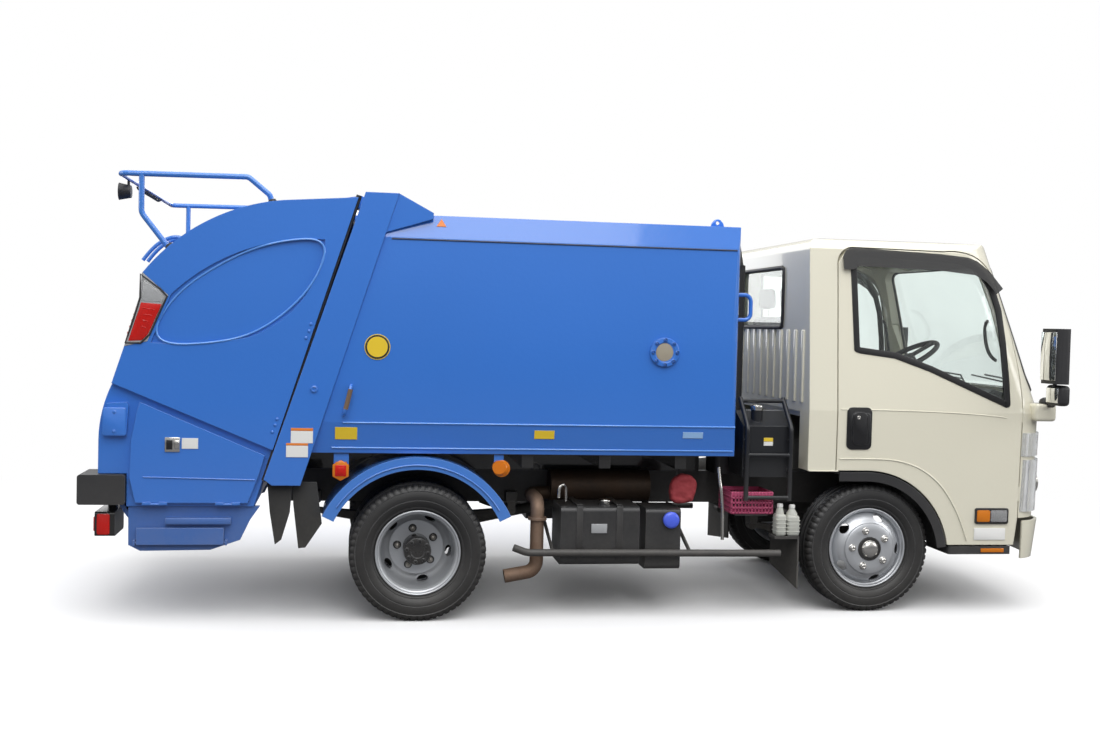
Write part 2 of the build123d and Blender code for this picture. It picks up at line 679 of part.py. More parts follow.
# Side covers: hinged along their lower edge in front of the recessed lower wall
cover_outline = [
    (behind(1377), 1108),
    (seam_x(850) - 36, 850),
    (seam_x(740) - 34, 740),
    (seam_x(GATE_SKIRT_Z) - 40, GATE_SKIRT_Z + 4),
    (behind(1393), GATE_SKIRT_Z + 4),
    (behind(1423), 734),
    (behind(1417), 921),
    (behind(1390), 1069),
]
with BuildPart() as cover:
    add(side_prism(cover_outline, COVER_INNER_Y, COVER_OUTER_Y))
    for distance in COVER_HINGE_PLACES:
        barrel_reach = BARREL_LENGTH * 1.5 + PIN_CLEARANCE
        for barrel_x in (-barrel_reach, BARREL_LENGTH / 2 + PIN_CLEARANCE):
            with BuildSketch(Plane.YZ.offset(behind(distance) + barrel_x)):
                with Locations((-COVER_OUTER_Y, COVER_AXIS_Z)):
                    Circle(COVER_BARREL_RADIUS)
                with Locations((-COVER_OUTER_Y, COVER_AXIS_Z + 5)):
                    Rectangle(2 * COVER_BARREL_RADIUS, 10)
            extrude(amount=BARREL_LENGTH)
        with BuildSketch(Plane.YZ.offset(behind(distance) - barrel_reach)):
            with Locations((-COVER_OUTER_Y, COVER_AXIS_Z)):
                Circle(COVER_PIN_RADIUS)
        extrude(amount=2 * barrel_reach)
save(cover.part, "side_cover_right")
save(mirror(cover.part, about=Plane.XZ), "side_cover_left")

# Corner buffers of moulded rubber that wrap the ends of the tub's beam
with BuildPart() as buffer:
    with BuildSketch(Plane.XZ.offset(700)):
        with Locations((behind(1555), BEAM_Z)):
            RectangleRounded(226, 148, 14)
    extrude(amount=240)
    with BuildSketch(Plane.XY.offset(BEAM_Z - 80)):
        with Locations((behind(1475), -786)):
            Rectangle(120, 174)
    extrude(amount=160, mode=Mode.SUBTRACT)
    with BuildSketch(Plane.XZ.offset(690)):
        with Locations((behind(1555), BEAM_Z)):
            Rectangle(100, 2 * BEAM_HALF_HEIGHT)
    extrude(amount=TUB_HALF_WIDTH - 690, mode=Mode.SUBTRACT)
save(both_sides(buffer.part), "corner_buffers")

# Cab: plan sections lofted upwards, rounded under a crowned roof, then hollowed
# Columns: height, how far the nose lies ahead of the front axle, half width
CAB_SECTIONS = ((300, 1066, 843), (CAB_BELT_Z, 1085, CAB_HALF_WIDTH), (2100, 742, 766))
CORNER_DEPTH = 205
CORNER_WIDTH = 150
NOSE_SAG = 52
ROOF_REAR_Z = 2055
ROOF_CROWN_Z = 2088


def cab_plan(height, nose, half_width, inset):
    """One plan section of the cab, with its curved nose and corners."""
    front = ahead(nose) - inset
    half = half_width - inset
    back = CAB_BACK_X + inset
    corner_x = front - NOSE_SAG
    with BuildSketch(Plane.XY.offset(height)) as plan:
        with BuildLine():
            for way in (1, -1):
                corner = (corner_x, way * (half - CORNER_WIDTH))
                Line((back, 0), (back, way * half))
                Line((back, way * half), (corner_x - CORNER_DEPTH, way * half))
                TangentArc((corner_x - CORNER_DEPTH, way * half), corner, tangent=(1, 0))
            ThreePointArc(
                (corner_x, half - CORNER_WIDTH),
                (front, 0),
                (corner_x, -(half - CORNER_WIDTH)),
            )
        make_face()
    return plan.sketch


def cab_walls(sections, inset):
    """The cab's walls and nose, lofted through some of its plan sections."""
    with BuildPart() as walls:
        for height, nose, half_width in sections:
            add(cab_plan(height, nose, half_width, inset))
        loft(ruled=True)
    return walls.part


def cab_form(inset):
    """The cab's outer form, or a smaller one set in from it."""
    with BuildPart() as form:
        add(cab_walls(CAB_SECTIONS, inset))
        with BuildSketch(Plane.XZ.offset(-1000)):
            with BuildLine():
                back = CAB_BACK_X + inset
                top = ROOF_CROWN_Z - inset
                Line((back, 250), (back, 1985 - inset))
                TangentArc((back, 1985 - inset), (back + 60, 2050 - inset), tangent=(0, 1))
                ThreePointArc((back + 60, 2050 - inset), (ahead(140), top), (ahead(600), 2054 - inset))
                ThreePointArc(
                    (ahead(600), 2054 - inset),
                    (ahead(715) - inset / 2, 2022 - inset),
                    (ahead(797) - inset, 1950 - inset),
                )
                Polyline((ahead(797) - inset, 1950 - inset), (ahead(1400), 1100), (ahead(1400), 250), (back, 250))
            make_face()
        extrude(amount=2000, mode=Mode.INTERSECT)
        with BuildSketch(Plane.YZ.offset(CAB_BACK_X - 100)):
            with BuildLine():
                for way in (1, -1):
                    Polyline((0, 250), (way * 900, 250), (way * 900, 1900), (way * (790 - inset), 1945 - inset))
                    TangentArc(
                        (way * (790 - inset), 1945 - inset),
                        (way * (700 - inset), 2048 - inset),
                        tangent=(-way * 0.1, 1),
                    )
                ThreePointArc(
                    (-(700 - inset), 2048 - inset),
                    (0, 2086 - inset),
                    (700 - inset, 2048 - inset),
                )
            make_face()
        extrude(amount=2000, mode=Mode.INTERSECT)
    return form.part


DOOR_ARC_RADIUS = ARCH_RADIUS + 1.5 * DOOR_GAP


def on_arch(radius, angle):
    """A place on a circle about the wheel arch's centre, by its angle above level."""
    return (ARCH_X + radius * cos(radians(angle)), ARCH_Z + radius * sin(radians(angle)))


DOOR_ARC_START = 9


def door_prism(grow):
    """The right-hand door's outline through the cab's side, grown by a gap."""
    with BuildPart() as prism:
        with BuildSketch(Plane.XZ.offset(CAB_HALF_WIDTH - 150)):
            with BuildLine():
                low = on_arch(DOOR_ARC_RADIUS, DOOR_ARC_START)
                high = (ARCH_X, ARCH_Z + DOOR_ARC_RADIUS)
                Polyline(high, (DOOR_REAR_X, ARCH_Z + DOOR_ARC_RADIUS), (DOOR_REAR_X, 1917))
                ThreePointArc((DOOR_REAR_X, 1917), (DOOR_REAR_X + 24, 1973), (DOOR_REAR_X + 84, 2000))
                Line((DOOR_REAR_X + 84, 2000), (ahead(402), 1993))
                ThreePointArc((ahead(402), 1993), (ahead(625), 1950), (ahead(760), 1800))
                ThreePointArc((ahead(760), 1800), (ahead(826), 1545), (ahead(864), 1186))
                Polyline((ahead(864), 1186), (ahead(856), 514), (ahead(838), DOOR_BOTTOM_Z), low)
                ThreePointArc(low, on_arch(DOOR_ARC_RADIUS, 50), high)
            make_face()
            if grow:
                offset(amount=grow)
        extrude(amount=300)
    return prism.part


def window_prism():
    """The right-hand door's window opening."""
    with BuildPart() as prism:
        with BuildSketch(Plane.XZ.offset(CAB_HALF_WIDTH - 160)):
            with BuildLine():
                Polyline((ahead(110), 1400), (ahead(-113), 1432), (ahead(-147), 1925))
                ThreePointArc((ahead(-147), 1925), (ahead(-135), 1968), (ahead(-95), 1984))
                Line((ahead(-95), 1984), (ahead(408), 1972))
                ThreePointArc((ahead(408), 1972), (ahead(590), 1930), (ahead(700), 1800))
                ThreePointArc((ahead(700), 1800), (ahead(765), 1500), (ahead(790), 1160))
                Polyline((ahead(790), 1160), (ahead(765), 1140), (ahead(315), 1331), (ahead(110), 1400))
            make_face()
        extrude(amount=320)
    return prism.part


cab_outer = cab_form(0)
cab_room = cab_form(CAB_WALL)
under_cab = cross_prism(
    [
        (CAB_BACK_X - 60, 200),
        (CAB_BACK_X - 60, CAB_SIDE_BOTTOM_Z),
        (DOOR_REAR_X + 100, CAB_SIDE_BOTTOM_Z),
        (ARCH_X, CAB_SIDE_BOTTOM_Z),
        (DOOR_FRONT_X - 20, CAB_SIDE_BOTTOM_Z),
        (DOOR_FRONT_X - 8, BUMPER_TOP_Z + 13),
        (ahead(1200), BUMPER_TOP_Z + 13),
        (ahead(1200), 200),
    ],
    1000,
)
engine_way = cross_prism(
    [
        (CAB_BACK_X - 60, 200),
        (CAB_BACK_X - 60, CAB_DECK_Z),
        (CAB_BACK_X + CAB_WALL + 10, CAB_DECK_Z),
        (CAB_BACK_X + CAB_WALL + 10, 200),
    ],
    CAB_HALF_WIDTH - CAB_WALL - 100,
)
with BuildPart() as windscreen_prism:
    with BuildSketch(Plane.YZ.offset(ahead(520))):
        with BuildLine():
            for way in (1, -1):
                Line((0, 1235), (way * 660, 1235))
                ThreePointArc((way * 660, 1235), (way * 724, 1262), (way * 742, 1330))
                Line((way * 742, 1330), (way * 650, 1870))
                ThreePointArc((way * 650, 1870), (way * 624, 1926), (way * 560, 1940))
            Line((-560, 1940), (560, 1940))
        make_face()
    extrude(amount=900)
with BuildPart() as rear_window_prism:
    with BuildSketch(Plane.YZ.offset(CAB_BACK_X - 50)):
        with Locations((0, REAR_WINDOW_Z)):
            RectangleRounded(REAR_WINDOW_WIDTH, REAR_WINDOW_HEIGHT, REAR_WINDOW_CORNER)
    extrude(amount=150)

right_door = door_prism(0)
right_gap = door_prism(DOOR_GAP)
right_window = window_prism()
with BuildPart() as cab_floor:
    with BuildSketch(Plane.XZ.offset(-(CAB_HALF_WIDTH - CAB_WALL - 24))):
        with BuildLine():
            Polyline(
                (CAB_BACK_X + 20, CAB_DECK_Z),
                (ahead(375), CAB_DECK_Z),
                (ahead(375), CAB_FLOOR_Z),
                (ahead(1062), CAB_FLOOR_Z),
                (ahead(1062), CAB_FLOOR_Z - FLOOR_THICKNESS),
                (ahead(375) - FLOOR_THICKNESS, CAB_FLOOR_Z - FLOOR_THICKNESS),
                (ahead(375) - FLOOR_THICKNESS, CAB_DECK_Z - FLOOR_THICKNESS),
                (CAB_BACK_X + 20, CAB_DECK_Z - FLOOR_THICKNESS),
                close=True,
            )
        make_face()
    extrude(amount=2 * (CAB_HALF_WIDTH - CAB_WALL - 24))
    add(cab_outer, mode=Mode.INTERSECT)
left_gap = mirror(right_gap, about=Plane.XZ)
# Fixed leaves of the door hinges, on the pillar in the gap ahead of the door
with BuildPart() as hinge_leaves:
    add(door_prism(DOOR_GAP + 2))
    add(door_prism(PIN_CLEARANCE), mode=Mode.SUBTRACT)
    with BuildSketch(Plane.XZ.offset(CAB_HALF_WIDTH - 41)):
        with Locations((ahead(862), 660), (ahead(862), 1100)):
            Rectangle(40, 80)
    extrude(amount=34, mode=Mode.INTERSECT)
left_leaves = mirror(hinge_leaves.part, about=Plane.XZ)
with BuildPart() as cab:
    add(cab_outer)
    add(under_cab, mode=Mode.SUBTRACT)
    add(engine_way, mode=Mode.SUBTRACT)
    add(cab_room, mode=Mode.SUBTRACT)
    add(right_gap, mode=Mode.SUBTRACT)
    add(left_gap, mode=Mode.SUBTRACT)
    add(windscreen_prism.part, mode=Mode.SUBTRACT)
    add(rear_window_prism.part, mode=Mode.SUBTRACT)
    add(cab_floor.part)
    add(hinge_leaves.part)
    add(left_leaves)
    # Lugs that turn on the pivot tube carry the floor at the front
    for lug_y in (-CAB_LUG_OFFSET, CAB_LUG_OFFSET):
        with BuildSketch(Plane.XZ.offset(lug_y - CAB_LUG_WIDTH / 2)):
            with Locations((PIVOT_X, PIVOT_Z)):
                Circle(CAB_LUG_RADIUS)
            with BuildLine():
                Polyline(
                    (PIVOT_X - CAB_LUG_RADIUS, PIVOT_Z),
                    (PIVOT_X - 70, CAB_FLOOR_Z - FLOOR_THICKNESS),
                    (PIVOT_X + 20, CAB_FLOOR_Z - FLOOR_THICKNESS),
                    (PIVOT_X + CAB_LUG_RADIUS - 8, PIVOT_Z),
                    close=True,
                )
            make_face()
            with Locations((PIVOT_X, PIVOT_Z)):
                Circle(PIVOT_RADIUS + 0.5, mode=Mode.SUBTRACT)
        extrude(amount=CAB_LUG_WIDTH)
save(cab.part, "cab_shell")

with BuildPart() as door:
    add(right_door)
    add(cab_outer, mode=Mode.INTERSECT)
    add(cab_room, mode=Mode.SUBTRACT)
    add(right_window, mode=Mode.SUBTRACT)
save(door.part, "door_right")
save(mirror(door.part, about=Plane.XZ), "door_left")

pane_outer = cab_walls(CAB_SECTIONS[1:], GLASS_INSET)
pane_inner = cab_walls(CAB_SECTIONS[1:], GLASS_INSET + GLASS_THICKNESS)


def pane(opening):
    """The sheet of glass that fills a window opening, a little inside the cab's skin."""
    with BuildPart() as sheet:
        add(opening)
        add(pane_outer, mode=Mode.INTERSECT)
        add(pane_inner, mode=Mode.SUBTRACT)
    return sheet.part


door_glass = pane(right_window)
save(door_glass, "door_glass_right")
save(mirror(door_glass, about=Plane.XZ), "door_glass_left")
with BuildPart() as rear_pane:
    with BuildSketch(Plane.YZ.offset(CAB_BACK_X + GLASS_INSET)):
        with Locations((0, REAR_WINDOW_Z)):
            RectangleRounded(REAR_WINDOW_WIDTH, REAR_WINDOW_HEIGHT, REAR_WINDOW_CORNER)
    extrude(amount=GLASS_THICKNESS)
save(
    Compound(children=[*pane(windscreen_prism.part).solids(), *rear_pane.part.solids()]),
    "cab_glass",
)

# Front mudguards: a black liner over each front wheel with a lip along the door's arch
LINER_INNER_Y = 560
ARCH_INNER_RADIUS = ARCH_RADIUS - ARCH_LIP
LINER_RADIUS = 462
LINER_SHEET = 6


def arch_band(inner, outer, near, far):
    """A band over the front wheel, from the low front end round to a level tail."""
    with BuildPart() as band:
        with BuildSketch(Plane.XZ.offset(near)):
            with BuildLine():
                tail_x = DOOR_REAR_X + 20
                Line((ARCH_X, ARCH_Z + outer), (tail_x, ARCH_Z + outer))
                Line((tail_x, ARCH_Z + outer), (tail_x, ARCH_Z + inner))
                Line((tail_x, ARCH_Z + inner), (ARCH_X, ARCH_Z + inner))
                ThreePointArc((ARCH_X, ARCH_Z + inner), on_arch(inner, 50), on_arch(inner, 8))
                Line(on_arch(inner, 8), on_arch(outer, 8))
                ThreePointArc(on_arch(outer, 8), on_arch(outer, 50), (ARCH_X, ARCH_Z + outer))
            make_face()
        extrude(amount=far - near)
    return band.part


with BuildPart() as mudguard:
    add(arch_band(LINER_RADIUS, LINER_RADIUS + LINER_SHEET, LINER_INNER_Y, CAB_HALF_WIDTH - 2))
    add(arch_band(ARCH_INNER_RADIUS, ARCH_RADIUS, CAB_HALF_WIDTH - 14, CAB_HALF_WIDTH - 2))
    # A stay up to the cab floor
    with BuildSketch(Plane.XY.offset(ARCH_Z + LINER_RADIUS)):
        with Locations((ARCH_X, -(LINER_INNER_Y + 60))):
            Rectangle(60, 40)
    extrude(amount=CAB_DECK_Z - FLOOR_THICKNESS - ARCH_Z - LINER_RADIUS)
save(both_sides(mudguard.part), "front_mudguards")

# Entry steps below the doors, hung from the cab floor
STEP_TOP_Z = 366
STEP_BOTTOM_Z = 323
with BuildPart() as step:
    with BuildSketch(Plane.XY.offset(STEP_BOTTOM_Z)):
        with Locations((ahead(640), -(CAB_HALF_WIDTH - 150))):
            RectangleRounded(372, 290, 18)
    extrude(amount=STEP_TOP_Z - STEP_BOTTOM_Z)
    with BuildSketch(Plane.XY.offset(STEP_TOP_Z)):
        with Locations((ahead(640), -(CAB_HALF_WIDTH - 150 - 130))):
            Rectangle(340, 24)
    extrude(amount=CAB_FLOOR_Z - FLOOR_THICKNESS - STEP_TOP_Z)
save(both_sides(step.part), "entry_steps")

# Front bumper: a thin moulded shell round the nose, a little proud of the cab
with BuildPart() as bumper:
    bumper_sections = ((BUMPER_BOTTOM_Z, 1070), (BUMPER_TOP_Z, FRONT_OVERHANG))
    for height, nose in bumper_sections:
        add(cab_plan(height, nose, CAB_HALF_WIDTH + BUMPER_PROUD, 0))
    loft(ruled=True)
    for height, nose in bumper_sections:
        add(cab_plan(height, nose, CAB_HALF_WIDTH + BUMPER_PROUD, BUMPER_SHEET))
    loft(ruled=True, mode=Mode.SUBTRACT)
    with BuildSketch(Plane.XY.offset(BUMPER_BOTTOM_Z - 1)):
        with Locations((ahead(880) - 1000, 0)):
            Rectangle(2000, 3000)
    extrude(amount=400, mode=Mode.SUBTRACT)
save(bumper.part, "front_bumper")

nose_plate = frame_plate([
    (RAIL_FRONT_X - 60, RAIL_TOP_Z - 20),
    (RAIL_FRONT_X - 60, RAIL_BOTTOM_Z + 20),
    (RAIL_FRONT_X, 400),
    (ahead(1067), 410),
    (ahead(1058), 330),
    (RAIL_FRONT_X - 20, 330),
    (RAIL_FRONT_X - 140, RAIL_BOTTOM_Z),
    (RAIL_FRONT_X - 140, RAIL_TOP_Z - 20),
])
pivot_plate = frame_plate([
    (RAIL_FRONT_X - 60, RAIL_TOP_Z - 20),
    (RAIL_FRONT_X - 60, 420),
    (RAIL_FRONT_X, 420),
    (PIVOT_X - 16, PIVOT_Z - 26),
    (PIVOT_X + 12, PIVOT_Z - 12),
    (PIVOT_X + 12, PIVOT_Z + 12),
    (PIVOT_X - 10, PIVOT_Z + 30),
    (RAIL_FRONT_X, RAIL_TOP_Z - 40),
])
with BuildPart() as nose_seated:
    add(nose_plate)
    add(bumper.part, mode=Mode.SUBTRACT)
BASKET_X = REAR_AXLE_X + 1800
with BuildPart() as frame_all:
    add(frame.part)
    # A plate under the right rail that carries the crew's basket
    with BuildSketch(Plane.XY.offset(RAIL_BOTTOM_Z)):
        with Locations((BASKET_X, -550)):
            Rectangle(180, 520)
    extrude(amount=-8)
    for plate in (nose_seated.part, pivot_plate):
        add(plate)
        add(mirror(plate, about=Plane.XZ))
    with BuildSketch(Plane.XZ.offset(-RAIL_HALF_WIDTH)):
        with Locations((PIVOT_X, PIVOT_Z)):
            Circle(PIVOT_RADIUS)
    extrude(amount=2 * RAIL_HALF_WIDTH)
save(frame_all.part, "frame_rails")


# Seats, dashboard and steering wheel
SEAT_BASE_Z = CAB_DECK_Z
with BuildPart() as seats:
    for seat_y, seat_width in ((-430, 480), (140, 480), (560, 340)):
        with BuildSketch(Plane.XY.offset(SEAT_BASE_Z)):
            with Locations((ahead(130), seat_y)):
                RectangleRounded(440, seat_width, 50)
        extrude(amount=110)
        with BuildSketch(Plane.XZ.offset(-seat_y - seat_width / 2)):
            with BuildLine():
                Polyline(
                    (ahead(-90), SEAT_BASE_Z + 105),
                    (ahead(-205), 1640),
                    (ahead(-130), 1660),
                    (ahead(20), SEAT_BASE_Z + 105),
                    close=True,
                )
            make_face()
        extrude(amount=seat_width)
        with BuildSketch(Plane.YZ.offset(ahead(-190))):
            with Locations((seat_y, 1742)):
                RectangleRounded(250, 150, 40)
        extrude(amount=70)
        with BuildSketch(Plane.XY.offset(1630)):
            with Locations((ahead(-160), seat_y - 60), (ahead(-160), seat_y + 60)):
                Circle(7)
        extrude(amount=60)
save(seats.part, "seats")

DASH_HALF_WIDTH = 640
with BuildPart() as dash:
    with BuildSketch(Plane.XZ.offset(-DASH_HALF_WIDTH)):
        with BuildLine():
            Polyline(
                (ahead(950), 1190),
                (ahead(800), 1232),
                (ahead(700), 1180),
                (ahead(690), 1010),
                (ahead(800), 930),
                (ahead(950), 900),
                close=True,
            )
        make_face()
    extrude(amount=2 * DASH_HALF_WIDTH)
    with BuildSketch(Plane.XY.offset(CAB_FLOOR_Z)):
        with Locations((ahead(880), 0)):
            Rectangle(130, 420)
    extrude(amount=180)
WHEEL_CENTRE = (ahead(335), -455, 1390)
COLUMN_TILT = 30
COLUMN_TOP_DROP = 30
column_way = Plane(origin=WHEEL_CENTRE, z_dir=(-sin(radians(COLUMN_TILT)), 0, cos(radians(COLUMN_TILT))))
with BuildPart() as dash_all:
    add(dash.part)
    with BuildSketch(column_way.offset(-COLUMN_TOP_DROP)):
        Circle(32)
    extrude(amount=-760)
    with BuildSketch(Plane.XY.offset(CAB_FLOOR_Z)):
        with Locations((ahead(600), 0)):
            Rectangle(1200, 1600)
    extrude(amount=-300, mode=Mode.SUBTRACT)
save(dash_all.part, "dashboard")
STEERING_RADIUS = 215
STEERING_RIM = 14
with BuildPart() as steering_wheel:
    with BuildSketch(Plane(origin=WHEEL_CENTRE, x_dir=(0, 1, 0), z_dir=(cos(radians(COLUMN_TILT)), 0, sin(radians(COLUMN_TILT))))):
        with Locations((STEERING_RADIUS - STEERING_RIM, 0)):
            Circle(STEERING_RIM)
    revolve(axis=Axis(WHEEL_CENTRE, (-sin(radians(COLUMN_TILT)), 0, cos(radians(COLUMN_TILT)))))
    with BuildSketch(column_way.offset(-COLUMN_TOP_DROP + PIN_CLEARANCE)):
        Circle(60)
    extrude(amount=40)
    with BuildSketch(column_way.offset(-9)):
        Rectangle(2 * STEERING_RADIUS - 2 * STEERING_RIM, 34)
        with Locations((-(STEERING_RADIUS - STEERING_RIM) / 2, 0)):
            Rectangle(STEERING_RADIUS - STEERING_RIM, 34)
    extrude(amount=16)
save(steering_wheel.part, "steering_wheel")

# Wheels: tyres and steel disc rims, twins at the rear
TYRE_SHOULDER = 22


def tyre(centre_x, centre_y):
    """A tyre about its axle, with a rounded shoulder and an open bore that the rim fills."""
    with BuildPart() as ring:
        with BuildSketch(Plane.YZ.offset(centre_x)):
            with BuildLine():
                half = TYRE_WIDTH / 2
                bead = RIM_WIDTH / 2 - 16.3
                lip = bead + 6
                bore = RIM_RADIUS - 12.7
                rim_edge = RIM_RADIUS + 0.3
                edge = TYRE_RADIUS - TYRE_SHOULDER
                Line((centre_y - bead, AXLE_Z + bore), (centre_y + bead, AXLE_Z + bore))
                Line((centre_y + bead, AXLE_Z + bore), (centre_y + lip, AXLE_Z + rim_edge))
                ThreePointArc(
                    (centre_y + lip, AXLE_Z + rim_edge),
                    (centre_y + half, AXLE_Z + (bore + edge) / 2 + 8),
                    (centre_y + half - 8, AXLE_Z + edge),
                )
                Line((centre_y + half - 8, AXLE_Z + edge), (centre_y + half - 26, AXLE_Z + TYRE_RADIUS))
                Line((centre_y + half - 26, AXLE_Z + TYRE_RADIUS), (centre_y - half + 26, AXLE_Z + TYRE_RADIUS))
                Line((centre_y - half + 26, AXLE_Z + TYRE_RADIUS), (centre_y - half + 8, AXLE_Z + edge))
                ThreePointArc(
                    (centre_y - half + 8, AXLE_Z + edge),
                    (centre_y - half, AXLE_Z + (bore + edge) / 2 + 8),
                    (centre_y - lip, AXLE_Z + rim_edge),
                )
                Line((centre_y - lip, AXLE_Z + rim_edge), (centre_y - bead, AXLE_Z + bore))
            make_face()
        revolve(axis=Axis((centre_x, 0, AXLE_Z), (0, 1, 0)))
    return ring.part


def rim(centre_x, centre_y, outward, hub_radius, hub_reach):
    """A drop-centre rim with a pierced disc. The disc stands out to the side that outward gives."""
    way = outward
    face = DISC_OFFSET
    with BuildPart() as wheel:
        with BuildSketch(Plane.YZ.offset(centre_x)):
            with BuildLine():
                half = RIM_WIDTH / 2
                outline = [
                    (half, RIM_RADIUS),
                    (half, RIM_RADIUS - 8),
                    (half - 14, RIM_RADIUS - 22),
                    (half - 52, RIM_RADIUS - 24),
                    (face - 26, 160),
                    (face - 6, 112),
                    (face, 40),
                    (face - 10, 40),
                    (face - 16, 106),
                    (face - 36, 152),
                    (half - 70, RIM_RADIUS - 24),
                    (-half + 14, RIM_RADIUS - 22),
                    (-half, RIM_RADIUS - 8),
                    (-half, RIM_RADIUS),
                    (-half + 10, RIM_RADIUS),
                    (-half + 16, RIM_RADIUS - 13),
                    (half - 16, RIM_RADIUS - 13),
                    (half - 10, RIM_RADIUS),
                ]
                Polyline(*[(centre_y + way * s, AXLE_Z + r) for s, r in outline], close=True)
            make_face()
        revolve(axis=Axis((centre_x, 0, AXLE_Z), (0, 1, 0)))
        hole_plane = Plane(origin=(centre_x, centre_y, AXLE_Z), z_dir=(0, way, 0))
        with BuildSketch(hole_plane):
            with PolarLocations(HAND_HOLE_CIRCLE + 8, 5):
                Circle(HAND_HOLE_RADIUS)
        extrude(amount=face + 20, mode=Mode.SUBTRACT)
        with BuildSketch(hole_plane.offset(face - 10)):
            with PolarLocations(NUT_CIRCLE, 5, 36):
                RegularPolygon(NUT_RADIUS, 6)
        extrude(amount=26)
        with BuildSketch(hole_plane.offset(face - HUB_DEPTH)):
            Circle(hub_radius)
        extrude(amount=HUB_DEPTH + hub_reach)
    return wheel.part


FRONT_WHEEL_Y = FRONT_TRACK / 2
TWIN_OUTER_Y = (REAR_TRACK + TWIN_SPACING) / 2
TWIN_INNER_Y = (REAR_TRACK - TWIN_SPACING) / 2
front_tyre = tyre(FRONT_AXLE_X, -FRONT_WHEEL_Y)
front_rim = rim(FRONT_AXLE_X, -FRONT_WHEEL_Y, -1, 52, 26)
outer_tyre = tyre(REAR_AXLE_X, -TWIN_OUTER_Y)
inner_tyre = tyre(REAR_AXLE_X, -TWIN_INNER_Y)
outer_rim = rim(REAR_AXLE_X, -TWIN_OUTER_Y, 1, 40, 0)
inner_rim = rim(REAR_AXLE_X, -TWIN_INNER_Y, -1, 40, 0)
with BuildPart() as twin_rims:
    add(outer_rim)
    add(inner_rim)
    with BuildSketch(Plane.XZ.offset(TWIN_INNER_Y - HUB_DEPTH)):
        with Locations((REAR_AXLE_X, AXLE_Z)):
            Circle(78)
    extrude(amount=TWIN_SPACING + 100)
twin_tyres = Compound(children=[outer_tyre.solid(), inner_tyre.solid()])
for side_name, piece_side in (("right", 1), ("left", -1)):
    for name, piece in (
        ("front_tyre", front_tyre),
        ("front_rim", front_rim),
        ("rear_tyres", twin_tyres),
        ("rear_rims", twin_rims.part),
    ):
        placed = piece if piece_side == 1 else mirror(piece, about=Plane.XZ)
        save(placed, f"{name}_{side_name}")

# Front axle: a dropped beam between kingpin eyes
KINGPIN_Y = 610
KINGPIN_RADIUS = 18
KINGPIN_HALF_HEIGHT = 62
BEAM_TOP_Z = 330
with BuildPart() as front_axle:
    with BuildSketch(Plane.YZ.offset(FRONT_AXLE_X - 32)):
        with BuildLine():
            for way in (1, -1):
                Polyline(
                    (0, BEAM_TOP_Z),
                    (way * 440, BEAM_TOP_Z),
                    (way * 540, AXLE_Z + 40),
                    (way * KINGPIN_Y, AXLE_Z + 40),
                    (way * KINGPIN_Y, AXLE_Z - 40),
                    (way * 560, AXLE_Z - 40),
                    (way * 450, BEAM_TOP_Z - 70),
                    (0, BEAM_TOP_Z - 70),
                )
        make_face()
    extrude(amount=64)
    with BuildSketch(Plane.XY.offset(AXLE_Z - 40)):
        with Locations((FRONT_AXLE_X, KINGPIN_Y), (FRONT_AXLE_X, -KINGPIN_Y)):
            Circle(34)
    extrude(amount=80)
    with BuildSketch(Plane.XY.offset(AXLE_Z - KINGPIN_HALF_HEIGHT - 16)):
        with Locations((FRONT_AXLE_X, KINGPIN_Y), (FRONT_AXLE_X, -KINGPIN_Y)):
            Circle(KINGPIN_RADIUS)
    extrude(amount=2 * KINGPIN_HALF_HEIGHT + 32)
save(front_axle.part, "front_axle")

# Steering knuckles: a fork on the kingpin, a stub axle and the tie rod arm
ARM_X = FRONT_AXLE_X - 150
ARM_Y = KINGPIN_Y
ARM_Z = 262
JOINT_RADIUS = 12


def knuckle():
    with BuildPart() as piece:
        for low_z in (AXLE_Z - KINGPIN_HALF_HEIGHT - 14, AXLE_Z + 42):
            with BuildSketch(Plane.XY.offset(low_z)):
                with Locations((FRONT_AXLE_X, -KINGPIN_Y)):
                    Circle(36)
                with Locations((FRONT_AXLE_X, -KINGPIN_Y - 34)):
                    Rectangle(64, 50)
                with Locations((FRONT_AXLE_X, -KINGPIN_Y)):
                    Circle(KINGPIN_RADIUS + PIN_CLEARANCE, mode=Mode.SUBTRACT)
            extrude(amount=34)
        with BuildSketch(Plane.XZ.offset(KINGPIN_Y + 42)):
            with Locations((FRONT_AXLE_X, AXLE_Z)):
                Rectangle(72, 2 * KINGPIN_HALF_HEIGHT + 28)
        extrude(amount=18)
        with BuildSketch(Plane.XZ.offset(KINGPIN_Y + 60)):
            with Locations((FRONT_AXLE_X, AXLE_Z)):
                Circle(30)
        extrude(amount=FRONT_WHEEL_Y + DISC_OFFSET - HUB_DEPTH - PIN_CLEARANCE - KINGPIN_Y - 60)
        with BuildSketch(Plane.XY.offset(AXLE_Z - KINGPIN_HALF_HEIGHT - 14)):
            with BuildLine():
                Polyline(
                    (FRONT_AXLE_X - 20, -KINGPIN_Y + 4),
                    (FRONT_AXLE_X - 30, -KINGPIN_Y - 40),
                    (ARM_X - 16, -ARM_Y - 22),
                    (ARM_X - 16, -ARM_Y + 22),
                    (ARM_X + 16, -ARM_Y + 22),
                    close=True,
                )
            make_face()
            with Locations((FRONT_AXLE_X, -KINGPIN_Y)):
                Circle(KINGPIN_RADIUS + PIN_CLEARANCE, mode=Mode.SUBTRACT)
            with Locations((ARM_X, -ARM_Y)):
                Circle(JOINT_RADIUS + PIN_CLEARANCE, mode=Mode.SUBTRACT)
        extrude(amount=22)
    return piece.part


right_knuckle = knuckle()
save(right_knuckle, "knuckle_right")
save(mirror(right_knuckle, about=Plane.XZ), "knuckle_left")

